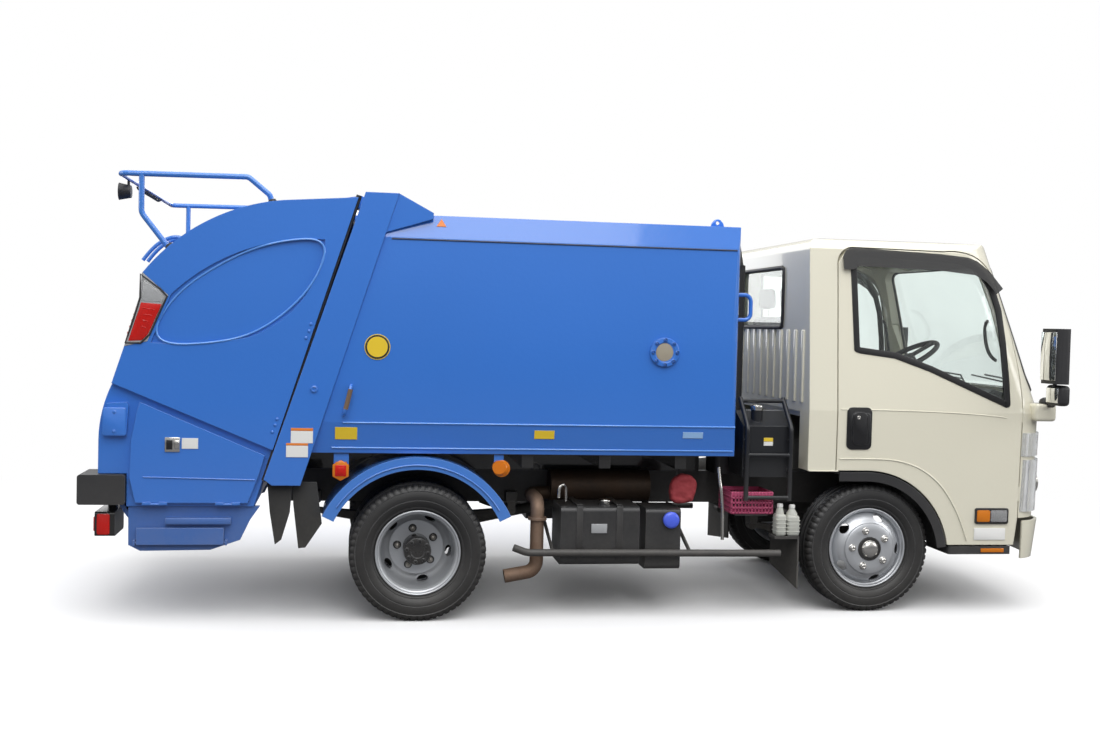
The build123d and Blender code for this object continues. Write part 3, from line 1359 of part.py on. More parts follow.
TIE_ROD_RADIUS = 14
with BuildPart() as tie_rod:
    with BuildSketch(Plane.XZ.offset(-ARM_Y)):
        with Locations((ARM_X, ARM_Z - 12)):
            Circle(TIE_ROD_RADIUS)
    extrude(amount=2 * ARM_Y)
    with BuildSketch(Plane.XY.offset(ARM_Z - 30)):
        with Locations((ARM_X, -ARM_Y), (ARM_X, ARM_Y)):
            Circle(22)
    extrude(amount=34)
    with BuildSketch(Plane.XY.offset(ARM_Z - 30)):
        with Locations((ARM_X, -ARM_Y), (ARM_X, ARM_Y)):
            Circle(JOINT_RADIUS)
    extrude(amount=62)
save(tie_rod.part, "tie_rod")

# Rear axle: banjo housing, tubes and flanges inside the twin wheels
with BuildPart() as rear_axle:
    axle_half = TWIN_INNER_Y - HUB_DEPTH - PIN_CLEARANCE
    with BuildSketch(Plane.XZ.offset(-axle_half)):
        with Locations((REAR_AXLE_X, AXLE_Z)):
            Circle(56)
    extrude(amount=2 * axle_half)
    with BuildSketch(Plane.YZ.offset(REAR_AXLE_X - 120)):
        with Locations((0, AXLE_Z)):
            Circle(150)
    extrude(amount=190, taper=8)
    with BuildSketch(Plane.YZ.offset(REAR_AXLE_X + 60)):
        with Locations((0, AXLE_Z)):
            Circle(90)
    extrude(amount=120, taper=14)
    with BuildSketch(Plane.XY.offset(AXLE_Z)):
        with Locations((REAR_AXLE_X, 395), (REAR_AXLE_X, -395)):
            Rectangle(110, 80)
    extrude(amount=72)
save(rear_axle.part, "rear_axle")

# Leaf springs: three-leaf packs clamped on each axle, with hangers up to the rails
REAR_SPRING_Y = 395
REAR_SPRING_LENGTH = 1050
FRONT_SPRING_Y = 318


def leaf_pack(centre_x, seat_z, offset_y, width, length, hanger_z):
    with BuildPart() as pack:
        with BuildSketch(Plane.XZ.offset(offset_y - width / 2)):
            with BuildLine():
                half = length / 2
                Line((centre_x - half, seat_z + 88), (centre_x - half, seat_z + 64))
                ThreePointArc((centre_x - half, seat_z + 64), (centre_x, seat_z), (centre_x + half, seat_z + 64))
                Line((centre_x + half, seat_z + 64), (centre_x + half, seat_z + 88))
                ThreePointArc(
                    (centre_x + half, seat_z + 88),
                    (centre_x, seat_z + 62),
                    (centre_x - half, seat_z + 88),
                )
            make_face()
            for end in (-1, 1):
                with Locations((centre_x + end * (half + 12), seat_z + 76)):
                    Circle(26)
        extrude(amount=width)
        for end in (-1, 1):
            with BuildSketch(Plane.XY.offset(seat_z + 86)):
                with Locations((centre_x + end * (length / 2 + 12), -offset_y)):
                    Rectangle(44, width + 24)
            extrude(amount=hanger_z - seat_z - 86)
    return pack.part


rear_spring = leaf_pack(REAR_AXLE_X, AXLE_Z + 72, REAR_SPRING_Y, 66, REAR_SPRING_LENGTH, AXLE_Z + 202)
front_spring = leaf_pack(FRONT_AXLE_X, BEAM_TOP_Z, FRONT_SPRING_Y, 64, 1000, RAIL_BOTTOM_Z)
with BuildPart() as rear_spring_all:
    add(rear_spring)
    for end in (-1, 1):
        with BuildSketch(Plane.XY.offset(RAIL_BOTTOM_Z + 5)):
            with Locations((REAR_AXLE_X + end * (REAR_SPRING_LENGTH / 2 + 12), -(RAIL_HALF_WIDTH + 44))):
                Rectangle(60, 88)
        extrude(amount=60)
save(
    Compound(children=[*both_sides(rear_spring_all.part).solids(), *both_sides(front_spring).solids()]),
    "leaf_springs",
)

# Engine and gearbox between the rails, and the propeller shaft to the rear axle
ENGINE_REAR_X = ahead(-330)
ENGINE_FRONT_X = ahead(330)
with BuildPart() as engine:
    with BuildSketch(Plane.YZ.offset(ENGINE_REAR_X)):
        with BuildLine():
            for way in (1, -1):
                Polyline(
                    (0, 1040), (way * 170, 1040), (way * 270, 900), (way * 270, 640), (way * 160, 450), (0, 450)
                )
        make_face()
    extrude(amount=ENGINE_FRONT_X - ENGINE_REAR_X)
    with BuildSketch(Plane.YZ.offset(ENGINE_REAR_X)):
        with Locations((0, 640)):
            Circle(182)
    with BuildSketch(Plane.YZ.offset(ENGINE_REAR_X - 560)):
        with Locations((0, 640)):
            Circle(90)
    loft()
    with BuildSketch(Plane.XZ.offset(-(RAIL_HALF_WIDTH - RAIL_WALL))):
        with Locations((ENGINE_REAR_X + 80, 640), (ENGINE_FRONT_X - 80, 640)):
            Rectangle(70, 60)
    extrude(amount=2 * (RAIL_HALF_WIDTH - RAIL_WALL))
SHAFT_START = (ENGINE_REAR_X - 540, 0, 640)
SHAFT_END = (REAR_AXLE_X + 188, 0, AXLE_Z)
with BuildPart() as shaft:
    shaft_run = Vector(*SHAFT_END) - Vector(*SHAFT_START)
    with BuildSketch(Plane(origin=SHAFT_START, z_dir=shaft_run)):
        Circle(30)
    extrude(amount=shaft_run.length)
with BuildPart() as driveline:
    add(engine.part)
    add(shaft.part)
save(driveline.part, "engine_and_driveline")

# Exhaust: a silencer outside the right rail and a rusty elbow that points down and back
SILENCER_Y = 456
SILENCER_Z = 650
SILENCER_RADIUS = 88
SILENCER_LENGTH = 560
PIPE_RADIUS = 36
ELBOW_X = REAR_AXLE_X + 632
with BuildPart() as exhaust:
    with BuildSketch(Plane.YZ.offset(ELBOW_X + 110)):
        with Locations((-SILENCER_Y, SILENCER_Z)):
            Circle(SILENCER_RADIUS)
    extrude(amount=SILENCER_LENGTH)
    with BuildLine() as pipe_path:
        FilletPolyline(
            (ELBOW_X + 112, -SILENCER_Y, SILENCER_Z - 44),
            (ELBOW_X, -SILENCER_Y - 20, SILENCER_Z - 44),
            (ELBOW_X, -780, SILENCER_Z - 44),
            (ELBOW_X, -780, 235),
            (ELBOW_X - 170, -780, 205),
            radius=62,
        )
    with BuildSketch(Plane(origin=pipe_path.line @ 0, z_dir=pipe_path.line % 0)):
        Circle(PIPE_RADIUS)
    sweep()
    with BuildSketch(Plane.XY.offset(505)):
        with Locations((ELBOW_X, -780)):
            Circle(50)
    extrude(amount=14)
    with BuildSketch(Plane.XY.offset(SILENCER_Z)):
        with Locations((ELBOW_X + 250, -(RAIL_HALF_WIDTH + 14)), (ELBOW_X + 560, -(RAIL_HALF_WIDTH + 14))):
            Rectangle(40, 28)
    extrude(amount=60)
save(exhaust.part, "exhaust")

# Tanks and boxes on the rails' sides
TANK_INNER_Y = 566
TANK_OUTER_Y = 856


def side_tank(rear_x, front_x, low_z, high_z, inner_y, outer_y, corner):
    with BuildPart() as tank:
        with BuildSketch(Plane.YZ.offset(rear_x)):
            with Locations((-(inner_y + outer_y) / 2, (low_z + high_z) / 2)):
                RectangleRounded(outer_y - inner_y, high_z - low_z, corner)
        extrude(amount=front_x - rear_x)
    return tank.part


def tank_bracket(bracket_x, inner_y):
    """A plate from the rail's lower edge out to a tank's inner side."""
    with BuildPart() as bracket:
        with BuildSketch(Plane.YZ.offset(bracket_x)):
            with BuildLine():
                Polyline(
                    (-RAIL_HALF_WIDTH, RAIL_BOTTOM_Z + 16),
                    (-RAIL_HALF_WIDTH, RAIL_BOTTOM_Z),
                    (-inner_y, RAIL_BOTTOM_Z - 110),
                    (-inner_y, RAIL_BOTTOM_Z + 16),
                    close=True,
                )
            make_face()
        extrude(amount=14)
    return bracket.part


FUEL_REAR_X = REAR_AXLE_X + 747
FUEL_FRONT_X = REAR_AXLE_X + 1170
with BuildPart() as fuel_tank:
    add(side_tank(FUEL_REAR_X, FUEL_FRONT_X, 276, 586, TANK_INNER_Y, TANK_OUTER_Y, 30))
    with BuildSketch(Plane.XY.offset(586)):
        with Locations((REAR_AXLE_X + 992, -(TANK_OUTER_Y - 72))):
            Circle(30)
    extrude(amount=22)
    add(tank_bracket(FUEL_REAR_X + 60, TANK_INNER_Y))
    add(tank_bracket(FUEL_REAR_X + 320, TANK_INNER_Y))
UREA_REAR_X = REAR_AXLE_X + 1206
UREA_FRONT_X = REAR_AXLE_X + 1397
with BuildPart() as urea_tank:
    add(side_tank(UREA_REAR_X, UREA_FRONT_X, 250, 575, 600, 848, 26))
    with BuildSketch(Plane.XZ.offset(840)):
        with Locations((REAR_AXLE_X + 1334, 518)):
            Circle(27)
    extrude(amount=30)
    add(tank_bracket(UREA_REAR_X + 90, 600))
with BuildPart() as battery:
    add(side_tank(REAR_AXLE_X + 760, REAR_AXLE_X + 1240, 300, 600, 560, TANK_OUTER_Y, 10))
    add(tank_bracket(REAR_AXLE_X + 900, 560))
    add(tank_bracket(REAR_AXLE_X + 1080, 560))
battery_box = mirror(battery.part, about=Plane.XZ)
save(
    Compound(children=[*fuel_tank.part.solids(), *urea_tank.part.solids(), *battery_box.solids()]),
    "side_tanks",
)

# Rear fenders: a steel band over each pair of rear wheels, on two stays from the frame
FENDER_X = REAR_AXLE_X - 8
FENDER_Z = 316
FENDER_RADIUS = 532
FENDER_LIP = 64
FENDER_SHEET = 5
FENDER_INNER_Y = 480
FENDER_OUTER_Y = 940
FENDER_END_ANGLE = 25.6
STAY_ANGLE = 33.4


def on_fender(radius, angle):
    """A place on a circle about the fender's centre, by its angle above level."""
    return (FENDER_X + radius * cos(radians(angle)), FENDER_Z + radius * sin(radians(angle)))


with BuildPart() as fender:
    for inner, near in (
        (FENDER_RADIUS - FENDER_SHEET, FENDER_INNER_Y),
        (FENDER_RADIUS - FENDER_LIP, FENDER_OUTER_Y - FENDER_SHEET),
    ):
        with BuildSketch(Plane.XZ.offset(near)):
            with BuildLine():
                for radius in (inner, FENDER_RADIUS):
                    ThreePointArc(
                        on_fender(radius, FENDER_END_ANGLE),
                        on_fender(radius, 90),
                        on_fender(radius, 180 - FENDER_END_ANGLE),
                    )
                for angle in (FENDER_END_ANGLE, 180 - FENDER_END_ANGLE):
                    Line(on_fender(inner, angle), on_fender(FENDER_RADIUS, angle))
            make_face()
        extrude(amount=FENDER_OUTER_Y - near)
    for angle in (STAY_ANGLE, 180 - STAY_ANGLE):
        with BuildSketch(Plane.XZ.offset(RAIL_HALF_WIDTH)):
            with Locations(on_fender(FENDER_RADIUS - FENDER_SHEET - 10, angle)):
                Circle(12)
        extrude(amount=FENDER_OUTER_Y - RAIL_HALF_WIDTH - 20)
save(both_sides(fender.part), "rear_fenders")

# Side guards: a round tube along each side between the axles, on two stays
GUARD_Y = 882
GUARD_RADIUS = 19
with BuildPart() as guard:
    with BuildLine() as guard_path:
        FilletPolyline(
            (REAR_AXLE_X + 496, -GUARD_Y, 375),
            (REAR_AXLE_X + 565, -GUARD_Y, 348),
            (REAR_AXLE_X + 1942, -GUARD_Y, 340),
            radius=120,
        )
    with BuildSketch(Plane(origin=guard_path.line @ 0, z_dir=guard_path.line % 0)):
        Circle(GUARD_RADIUS)
    sweep()
    for stay_x in (REAR_AXLE_X + 700, REAR_AXLE_X + 1440):
        with BuildSketch(Plane.YZ.offset(stay_x)):
            with BuildLine():
                Polyline(
                    (-RAIL_HALF_WIDTH + 4, RAIL_BOTTOM_Z),
                    (-RAIL_HALF_WIDTH + 4, RAIL_BOTTOM_Z - 18),
                    (-GUARD_Y, 340 - 9),
                    (-GUARD_Y, 340 + 9),
                    (-RAIL_HALF_WIDTH - 30, RAIL_BOTTOM_Z),
                    close=True,
                )
            make_face()
        extrude(amount=12)
save(both_sides(guard.part), "side_guards")

# Front mudflaps, hung behind the front wheels from brackets under the rails
FLAP_X = REAR_AXLE_X + 2048
with BuildPart() as mudflap:
    with BuildSketch(Plane.YZ.offset(FLAP_X)):
        with BuildLine():
            Polyline((-860, 427), (-860, 142), (-410, 200), (-410, 427), close=True)
        make_face()
    extrude(amount=8)
    with BuildSketch(Plane.XZ.offset(RAIL_HALF_WIDTH - RAIL_FLANGE)):
        with Locations((FLAP_X - 10, RAIL_BOTTOM_Z - 20)):
            Rectangle(44, 40)
    extrude(amount=768 - RAIL_HALF_WIDTH + RAIL_FLANGE)
    with BuildSketch(Plane.XY.offset(412)):
        with Locations((FLAP_X - 60, -805)):
            Rectangle(136, 104)
    extrude(amount=15)
    with BuildSketch(Plane.XY.offset(412)):
        with Locations((FLAP_X - 10, -756)):
            Rectangle(44, 24)
    extrude(amount=RAIL_BOTTOM_Z - 412)
save(both_sides(mudflap.part), "front_mudflaps")

# Hydraulic oil tank behind the cab on the right, with its filler and a tube guard
OIL_REAR_X = REAR_AXLE_X + 1742
OIL_FRONT_X = REAR_AXLE_X + 2022
OIL_OUTER_Y = 805
OIL_BOTTOM_Z = 742
with BuildPart() as oil_tank:
    with BuildSketch(Plane.YZ.offset(OIL_REAR_X)):
        with BuildLine():
            Polyline(
                (-560, 1092),
                (-650, 1092),
                (-OIL_OUTER_Y, 1018),
                (-OIL_OUTER_Y, OIL_BOTTOM_Z),
                (-560, OIL_BOTTOM_Z),
                close=True,
            )
        make_face()
    extrude(amount=OIL_FRONT_X - OIL_REAR_X)
    with BuildSketch(Plane.XY.offset(1020)):
        with Locations((REAR_AXLE_X + 1838, -735)):
            Circle(32)
    extrude(amount=96)
    with BuildSketch(Plane.XY.offset(OIL_BOTTOM_Z - 22)):
        with Locations((REAR_AXLE_X + 1930, -455)):
            Rectangle(120, 330)
    extrude(amount=22)

LADDER_Y = 838
LADDER_RADIUS = 13
LADDER_LEAN_Z = 1014
LADDER_TOP_Z = 1136
LADDER_TOP_Y = 690
with BuildPart() as ladder:
    add(oil_tank.part)
    for leg_x in (REAR_AXLE_X + 1756, REAR_AXLE_X + 2000):
        with BuildLine() as leg_path:
            FilletPolyline(
                (leg_x, -LADDER_Y, 618),
                (leg_x, -LADDER_Y, LADDER_LEAN_Z),
                (leg_x, -LADDER_TOP_Y, LADDER_TOP_Z + 26),
                radius=60,
            )
        with BuildSketch(Plane(origin=leg_path.line @ 0, z_dir=leg_path.line % 0)):
            Circle(LADDER_RADIUS)
        sweep()
        for stay_z in (780, 940):
            with BuildSketch(Plane.XZ.offset(OIL_OUTER_Y)):
                with Locations((leg_x, stay_z)):
                    Circle(9)
            extrude(amount=LADDER_Y - OIL_OUTER_Y)
    for rung_y, rung_z in ((LADDER_Y, 634), (LADDER_Y, 864), (LADDER_TOP_Y + 12, LADDER_TOP_Z + 13)):
        with BuildSketch(Plane.YZ.offset(REAR_AXLE_X + 1756)):
            with Locations((-rung_y, rung_z)):
                Circle(LADDER_RADIUS - 2)
        extrude(amount=244)
save(ladder.part, "oil_tank")

# Air intake behind the cab: a moulded duct that rises beside the body's front wall
with BuildPart() as intake:
    with BuildSketch(Plane.XY.offset(RAIL_TOP_Z)):
        with Locations((REAR_AXLE_X + 1760, -380)):
            RectangleRounded(150, 220, 30)
    extrude(amount=1180)
    with BuildSketch(Plane.XY.offset(RAIL_TOP_Z + 1180)):
        with Locations((REAR_AXLE_X + 1756, -380)):
            RectangleRounded(126, 250, 30)
    with BuildSketch(Plane.XY.offset(2050)):
        with Locations((REAR_AXLE_X + 1744, -380)):
            RectangleRounded(100, 230, 30)
    loft()
save(intake.part, "air_intake")

# Body fittings: port ring, pull handle, front grab handle and the lamp brackets under the sill
BODY_SIDE_Y = BODY_HALF_WIDTH + 1
with BuildPart() as fittings:
    with BuildSketch(Plane.XZ.offset(BODY_SIDE_Y)):
        with Locations((PORT_X, PORT_Z)):
            Circle(PORT_RING_RADIUS)
            Circle(PORT_RADIUS, mode=Mode.SUBTRACT)
    extrude(amount=11)
with BuildPart() as pull_handle:
    with BuildLine() as pull_path:
        FilletPolyline(
            (REAR_AXLE_X - 356, -BODY_HALF_WIDTH + 4, 1206),
            (REAR_AXLE_X - 356, -BODY_HALF_WIDTH - 34, 1206),
            (REAR_AXLE_X - 388, -BODY_HALF_WIDTH - 34, 1060),
            (REAR_AXLE_X - 388, -BODY_HALF_WIDTH + 4, 1060),
            radius=24,
        )
    with BuildSketch(Plane(origin=pull_path.line @ 0, z_dir=pull_path.line % 0)):
        Circle(9)
    sweep()
with BuildPart() as grab_handle:
    with BuildLine() as grab_path:
        FilletPolyline(
            (BODY_FRONT_X, -800, 1724),
            (BODY_FRONT_X + 96, -800, 1724),
            (BODY_FRONT_X + 96, -800, 1590),
            (BODY_FRONT_X, -800, 1590),
            radius=36,
        )
    with BuildSketch(Plane(origin=grab_path.line @ 0, z_dir=grab_path.line % 0)):
        Circle(11)
    sweep()
with BuildPart() as marker_bracket:
    with BuildSketch(Plane.XZ.offset(872)):
        with Locations((REAR_AXLE_X + 408, 815)):
            Rectangle(50, 90)
        with Locations((REAR_AXLE_X - 397, 800)):
            Rectangle(76, 120)
    extrude(amount=6)
with BuildPart() as pull_seated:
    add(pull_handle.part)
    add(body_outer, mode=Mode.SUBTRACT)
save(
    Compound(children=[
        *fittings.part.solids(),
        *pull_seated.part.solids(),
        *grab_handle.part.solids(),
        *marker_bracket.part.solids(),
    ]),
    "body_fittings",
)

# Lenses: the port's glass and the round and square side lamps
with BuildPart() as lenses:
    with BuildSketch(Plane.XZ.offset(BODY_HALF_WIDTH - 6)):
        with Locations((PORT_X, PORT_Z)):
            Circle(PORT_RADIUS - PIN_CLEARANCE)
    extrude(amount=8)
    with BuildSketch(Plane.XZ.offset(878)):
        with Locations((REAR_AXLE_X + 408, 795)):
            Circle(35)
        with Locations((REAR_AXLE_X - 397, 784)):
            Rectangle(56, 66)
    extrude(amount=28)
save(lenses.part, "body_lenses")

# Cab front: grille panel and corner lamps, thin mouldings that follow the nose
def nose_moulding(outline, proud):
    """A moulding on the nose inside a front outline of (y, z) points, mirrored to both sides."""
    with BuildPart() as moulding:
        with BuildSketch(Plane.YZ.offset(ahead(700))):
            with BuildLine():
                Polyline(*outline, close=True)
            make_face()
            mirror(about=Plane.YZ)
        extrude(amount=500)
        add(cab_walls(CAB_SECTIONS[:2], -proud), mode=Mode.INTERSECT)
        add(cab_walls(CAB_SECTIONS[:2], -0.3), mode=Mode.SUBTRACT)
    return moulding.part


with BuildPart() as grille:
    add(nose_moulding([(0, 640), (520, 640), (560, 700), (560, 850), (0, 850)], 14))
    with BuildSketch(Plane.YZ.offset(ahead(700))):
        for slot_z in (690, 745, 800):
            with Locations((0, slot_z)):
                SlotOverall(960, 30)
    extrude(amount=500, mode=Mode.SUBTRACT)
save(grille.part, "grille_panel")
save(
    Compound(children=[
        *nose_moulding([(600, 560), (838, 560), (838, 850), (600, 850)], 12).solids(),
        *nose_moulding([(700, 870), (842, 870), (842, 1000), (700, 1000)], 9).solids(),
    ]),
    "cab_lamps",
)

# Mirrors: a housing on a bent arm from a bracket on each front corner of the cab
MIRROR_Y = 1000
with BuildPart() as mirror_unit:
    with BuildSketch(Plane.XY.offset(1285)):
        with Locations((ahead(958), -MIRROR_Y)):
            RectangleRounded(84, 180, 30)
    extrude(amount=300)
    with BuildLine() as arm_path:
        FilletPolyline(
            (ahead(985), -760, 1150),
            (ahead(1010), -905, 1160),
            (ahead(958), -MIRROR_Y, 1200),
            (ahead(958), -MIRROR_Y, 1290),
            radius=30,
        )
    with BuildSketch(Plane(origin=arm_path.line @ 0, z_dir=arm_path.line % 0)):
        Circle(11)
    sweep()
    add(cab_walls(CAB_SECTIONS, -0.3), mode=Mode.SUBTRACT)
save(both_sides(mirror_unit.part), "mirrors")

# Rack on the tailgate roof: bent tubes along each side, joined across the rear
RACK_Y = 880
RACK_RADIUS = 14
RACK_TOP_Z = 2236
RACK_REAR_X = behind(1495)
with BuildPart() as rack_side:
    with BuildLine() as rail_path:
        FilletPolyline(
            (behind(760), -RACK_Y, 2095),
            (behind(774), -RACK_Y, 2150),
            (behind(880), -RACK_Y, RACK_TOP_Z),
            (RACK_REAR_X, -RACK_Y, RACK_TOP_Z - 6),
            (RACK_REAR_X, -RACK_Y + 120, RACK_TOP_Z - 6),
            radius=40,
        )
    with BuildSketch(Plane(origin=rail_path.line @ 0, z_dir=rail_path.line % 0)):
        Circle(RACK_RADIUS)
    sweep()
    with BuildLine() as post_path:
        FilletPolyline(
            (behind(1392), -RACK_Y, RACK_TOP_Z - 2),
            (behind(1392), -RACK_Y, 2040),
            (behind(1240), -RACK_Y, 1846),
            radius=60,
        )
    with BuildSketch(Plane(origin=post_path.line @ 0, z_dir=post_path.line % 0)):
        Circle(RACK_RADIUS)
    sweep()
with BuildPart() as rack:
    add(rack_side.part)
    add(mirror(rack_side.part, about=Plane.XZ, mode=Mode.PRIVATE))
    with BuildSketch(Plane.XZ.offset(-RACK_Y + 118)):
        with Locations((RACK_REAR_X, RACK_TOP_Z - 6)):
            Circle(RACK_RADIUS)
    extrude(amount=2 * (RACK_Y - 118))
    add(gate_form(-1000, 1000), mode=Mode.SUBTRACT)
save(rack.part, "roof_rack")

# Work lamp on the rack's cross tube, and a camera with its hoop at the tailgate's rear edge
with BuildPart() as work_lamp:
    with BuildSketch(Plane.YZ.offset(RACK_REAR_X - 46)):
        with Locations((-640, RACK_TOP_Z - 74)):
            Circle(44)
    extrude(amount=60, taper=12)
    with BuildSketch(Plane.XY.offset(RACK_TOP_Z - 50)):
        with Locations((RACK_REAR_X, -640)):
            Circle(7)
    extrude(amount=30)
with BuildPart() as camera:
    with BuildSketch(Plane.XZ.offset(-32)):
        with Locations((behind(1330), 1905)):
            Rectangle(70, 60)
        with BuildLine():
            Polyline((behind(1350), 1880), (behind(1310), 1880), (behind(1250), 1820), (behind(1350), 1760), close=True)
        make_face()
    extrude(amount=64)
    add(gate_form(-1000, 1000), mode=Mode.SUBTRACT)
save(
    Compound(children=[*work_lamp.part.solids(), *camera.part.solids()]),
    "work_lamp_and_camera",
)

# What the crew carries: an extinguisher in its bag, a basket and two bottles
BAG_X = REAR_AXLE_X + 1429
with BuildPart() as bag:
    with BuildSketch(Plane.XZ.offset(710)):
        with BuildLine():
            Polyline(
                (BAG_X - 66, 590), (BAG_X + 52, 596), (BAG_X + 78, 720), (BAG_X + 40, 752), (BAG_X - 44, 746),
                (BAG_X - 77, 672), close=True,
            )
        make_face()
    extrude(amount=80)
    with BuildSketch(Plane.XY.offset(744)):
        with Locations((REAR_AXLE_X + 1392, -750)):
            Circle(6)
    extrude(amount=BODY_BOTTOM_Z - CROSS_BEARER_HEIGHT - 744)
save(bag.part, "extinguisher_bag")

BASKET_WALL = 5
with BuildPart() as basket:
    with BuildSketch(Plane.XY.offset(RAIL_BOTTOM_Z + 0.3)):
        with Locations((BASKET_X, -700)):
            RectangleRounded(220, 220, 20)
    with BuildSketch(Plane.XY.offset(663)):
        with Locations((BASKET_X, -700)):
            RectangleRounded(240, 240, 24)
    loft()
    with BuildSketch(Plane.XY.offset(RAIL_BOTTOM_Z + 0.3 + BASKET_WALL)):
        with Locations((BASKET_X, -700)):
            RectangleRounded(220 - 2 * BASKET_WALL, 220 - 2 * BASKET_WALL, 16)
    with BuildSketch(Plane.XY.offset(664)):
        with Locations((BASKET_X, -700)):
            RectangleRounded(240 - 2 * BASKET_WALL, 240 - 2 * BASKET_WALL, 20)
    loft(mode=Mode.SUBTRACT)
save(basket.part, "carry_basket")

with BuildPart() as bottles:
    for bottle_x, bottle_width, bottle_top in ((FLAP_X - 92, 56, 604), (FLAP_X - 24, 70, 598)):
        with BuildSketch(Plane.XY.offset(427.3)):
            with Locations((bottle_x, -820)):
                RectangleRounded(bottle_width, 80, 18)
        extrude(amount=bottle_top - 60 - 427.3)
        with BuildSketch(Plane.XY.offset(bottle_top - 60)):
            with Locations((bottle_x, -820)):
                RectangleRounded(bottle_width, 80, 18)
        with BuildSketch(Plane.XY.offset(bottle_top - 20)):
            with Locations((bottle_x, -820)):
                RectangleRounded(bottle_width - 22, 52, 14)
        loft()
        with BuildSketch(Plane.XY.offset(bottle_top - 20)):
            with Locations((bottle_x, -820)):
                Circle(19)
        extrude(amount=22)
save(bottles.part, "water_bottles")
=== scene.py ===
"""Looks of the rear-loading refuse truck: paint, glass, rubber, lamps, seats, wheels and small fittings."""
from math import atan2, cos, pi, radians, sin, tan

import bpy
from mathutils import Matrix, Vector


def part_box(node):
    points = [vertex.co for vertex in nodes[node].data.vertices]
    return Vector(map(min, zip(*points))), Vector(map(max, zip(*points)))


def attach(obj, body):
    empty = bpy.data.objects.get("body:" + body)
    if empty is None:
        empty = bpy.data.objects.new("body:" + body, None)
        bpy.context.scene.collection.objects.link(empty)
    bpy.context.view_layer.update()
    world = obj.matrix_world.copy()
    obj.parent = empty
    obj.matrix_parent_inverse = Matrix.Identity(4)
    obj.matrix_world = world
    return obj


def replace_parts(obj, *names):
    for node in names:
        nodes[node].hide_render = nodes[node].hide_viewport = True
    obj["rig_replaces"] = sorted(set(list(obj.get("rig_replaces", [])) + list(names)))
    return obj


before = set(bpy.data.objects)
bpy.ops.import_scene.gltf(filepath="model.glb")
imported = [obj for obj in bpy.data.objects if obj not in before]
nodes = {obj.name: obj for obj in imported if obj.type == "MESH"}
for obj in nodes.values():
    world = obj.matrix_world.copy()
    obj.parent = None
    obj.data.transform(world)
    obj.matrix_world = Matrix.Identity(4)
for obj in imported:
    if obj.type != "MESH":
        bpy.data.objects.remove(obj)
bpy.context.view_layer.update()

# Camera, floor and light: the camera stands across the road, a little behind the truck's middle, and is
# turned slightly forward. Soft light from a bright sky falls on a plain pale floor, which reflects in the
# truck as dark as a road and turns pure white with distance.
LENS_PIXELS = 1250
IMAGE_WIDTH = 1100
SENSOR = 36.0
CAMERA_PLACE = (-1.302, -7.297, 1.533)
CAMERA_YAW = radians(8.98)
CAMERA_PITCH = radians(1.87)
CAMERA_ROLL = radians(1.44)
camera_data = bpy.data.cameras.new("camera")
camera_data.sensor_width = SENSOR
camera_data.lens = SENSOR * LENS_PIXELS / IMAGE_WIDTH
camera = bpy.data.objects.new("camera", camera_data)
camera.matrix_world = (
    Matrix.Translation(CAMERA_PLACE)
    @ Matrix.Rotation(-CAMERA_YAW, 4, "Z")
    @ Matrix.Rotation(pi / 2 - CAMERA_PITCH, 4, "X")
    @ Matrix.Rotation(CAMERA_ROLL, 4, "Z")
)
bpy.context.scene.collection.objects.link(camera)
bpy.context.scene.camera = camera
bpy.context.scene.view_settings.view_transform = "Standard"


def clear_selection():
    bpy.ops.object.select_all(action="DESELECT")


def feed(tree, made, inputs):
    """Gives inputs of a shader node a value each, or another node's output."""
    for key, value in inputs.items():
        if isinstance(value, bpy.types.NodeSocket):
            tree.links.new(value, made.inputs[key])
        else:
            made.inputs[key].default_value = value
    return made.outputs


def shader_node(tree, kind, inputs=None, **settings):
    """Adds a shader node with its settings and inputs, and returns its outputs."""
    made = tree.nodes.new("ShaderNode" + kind)
    for key, value in settings.items():
        setattr(made, key, value)
    return feed(tree, made, inputs or {})


def maths(tree, operation, first, second, clamp=False):
    return shader_node(tree, "Math", {0: first, 1: second}, operation=operation, use_clamp=clamp)[0]


def colour_mix(tree, share, first, second):
    return shader_node(tree, "Mix", {0: share, 6: first, 7: second}, data_type="RGBA")[2]


FLOOR_SIZE = 120
FLOOR_DARK = (0.13, 0.13, 0.135, 1)
FLOOR_PALE = (0.9, 0.9, 0.905, 1)
FLOOR_FADES_FROM = 2.6
FLOOR_FADES_TO = 6.5
clear_selection()
bpy.ops.mesh.primitive_plane_add(size=FLOOR_SIZE, location=(0, 0, 0))
floor = bpy.context.object
floor.name = "floor"
floor_finish = bpy.data.materials.new("pale_floor")
floor_finish.use_nodes = True
tree = floor_finish.node_tree
floor_shader = tree.nodes["Principled BSDF"]
ray = shader_node(tree, "LightPath")
floor_colour = colour_mix(tree, ray["Is Camera Ray"], FLOOR_DARK, FLOOR_PALE)
feed(tree, floor_shader, {"Roughness": 0.85, "Base Color": floor_colour})
reach = shader_node(tree, "VectorMath", {0: shader_node(tree, "TexCoord")["Object"]}, operation="LENGTH")
fade_range = {"Value": reach["Value"], "From Min": FLOOR_FADES_FROM, "From Max": FLOOR_FADES_TO}
fade = shader_node(tree, "MapRange", fade_range, interpolation_type="SMOOTHSTEP")
shown = maths(tree, "MAXIMUM", ray["Is Camera Ray"], ray["Is Transmission Ray"])
far = maths(tree, "MULTIPLY", fade["Result"], shown)
white = shader_node(tree, "Emission")[0]
surface = shader_node(tree, "MixShader", {0: far, 1: floor_shader.outputs[0], 2: white})[0]
feed(tree, tree.nodes["Material Output"], {"Surface": surface})
floor.data.materials.append(floor_finish)

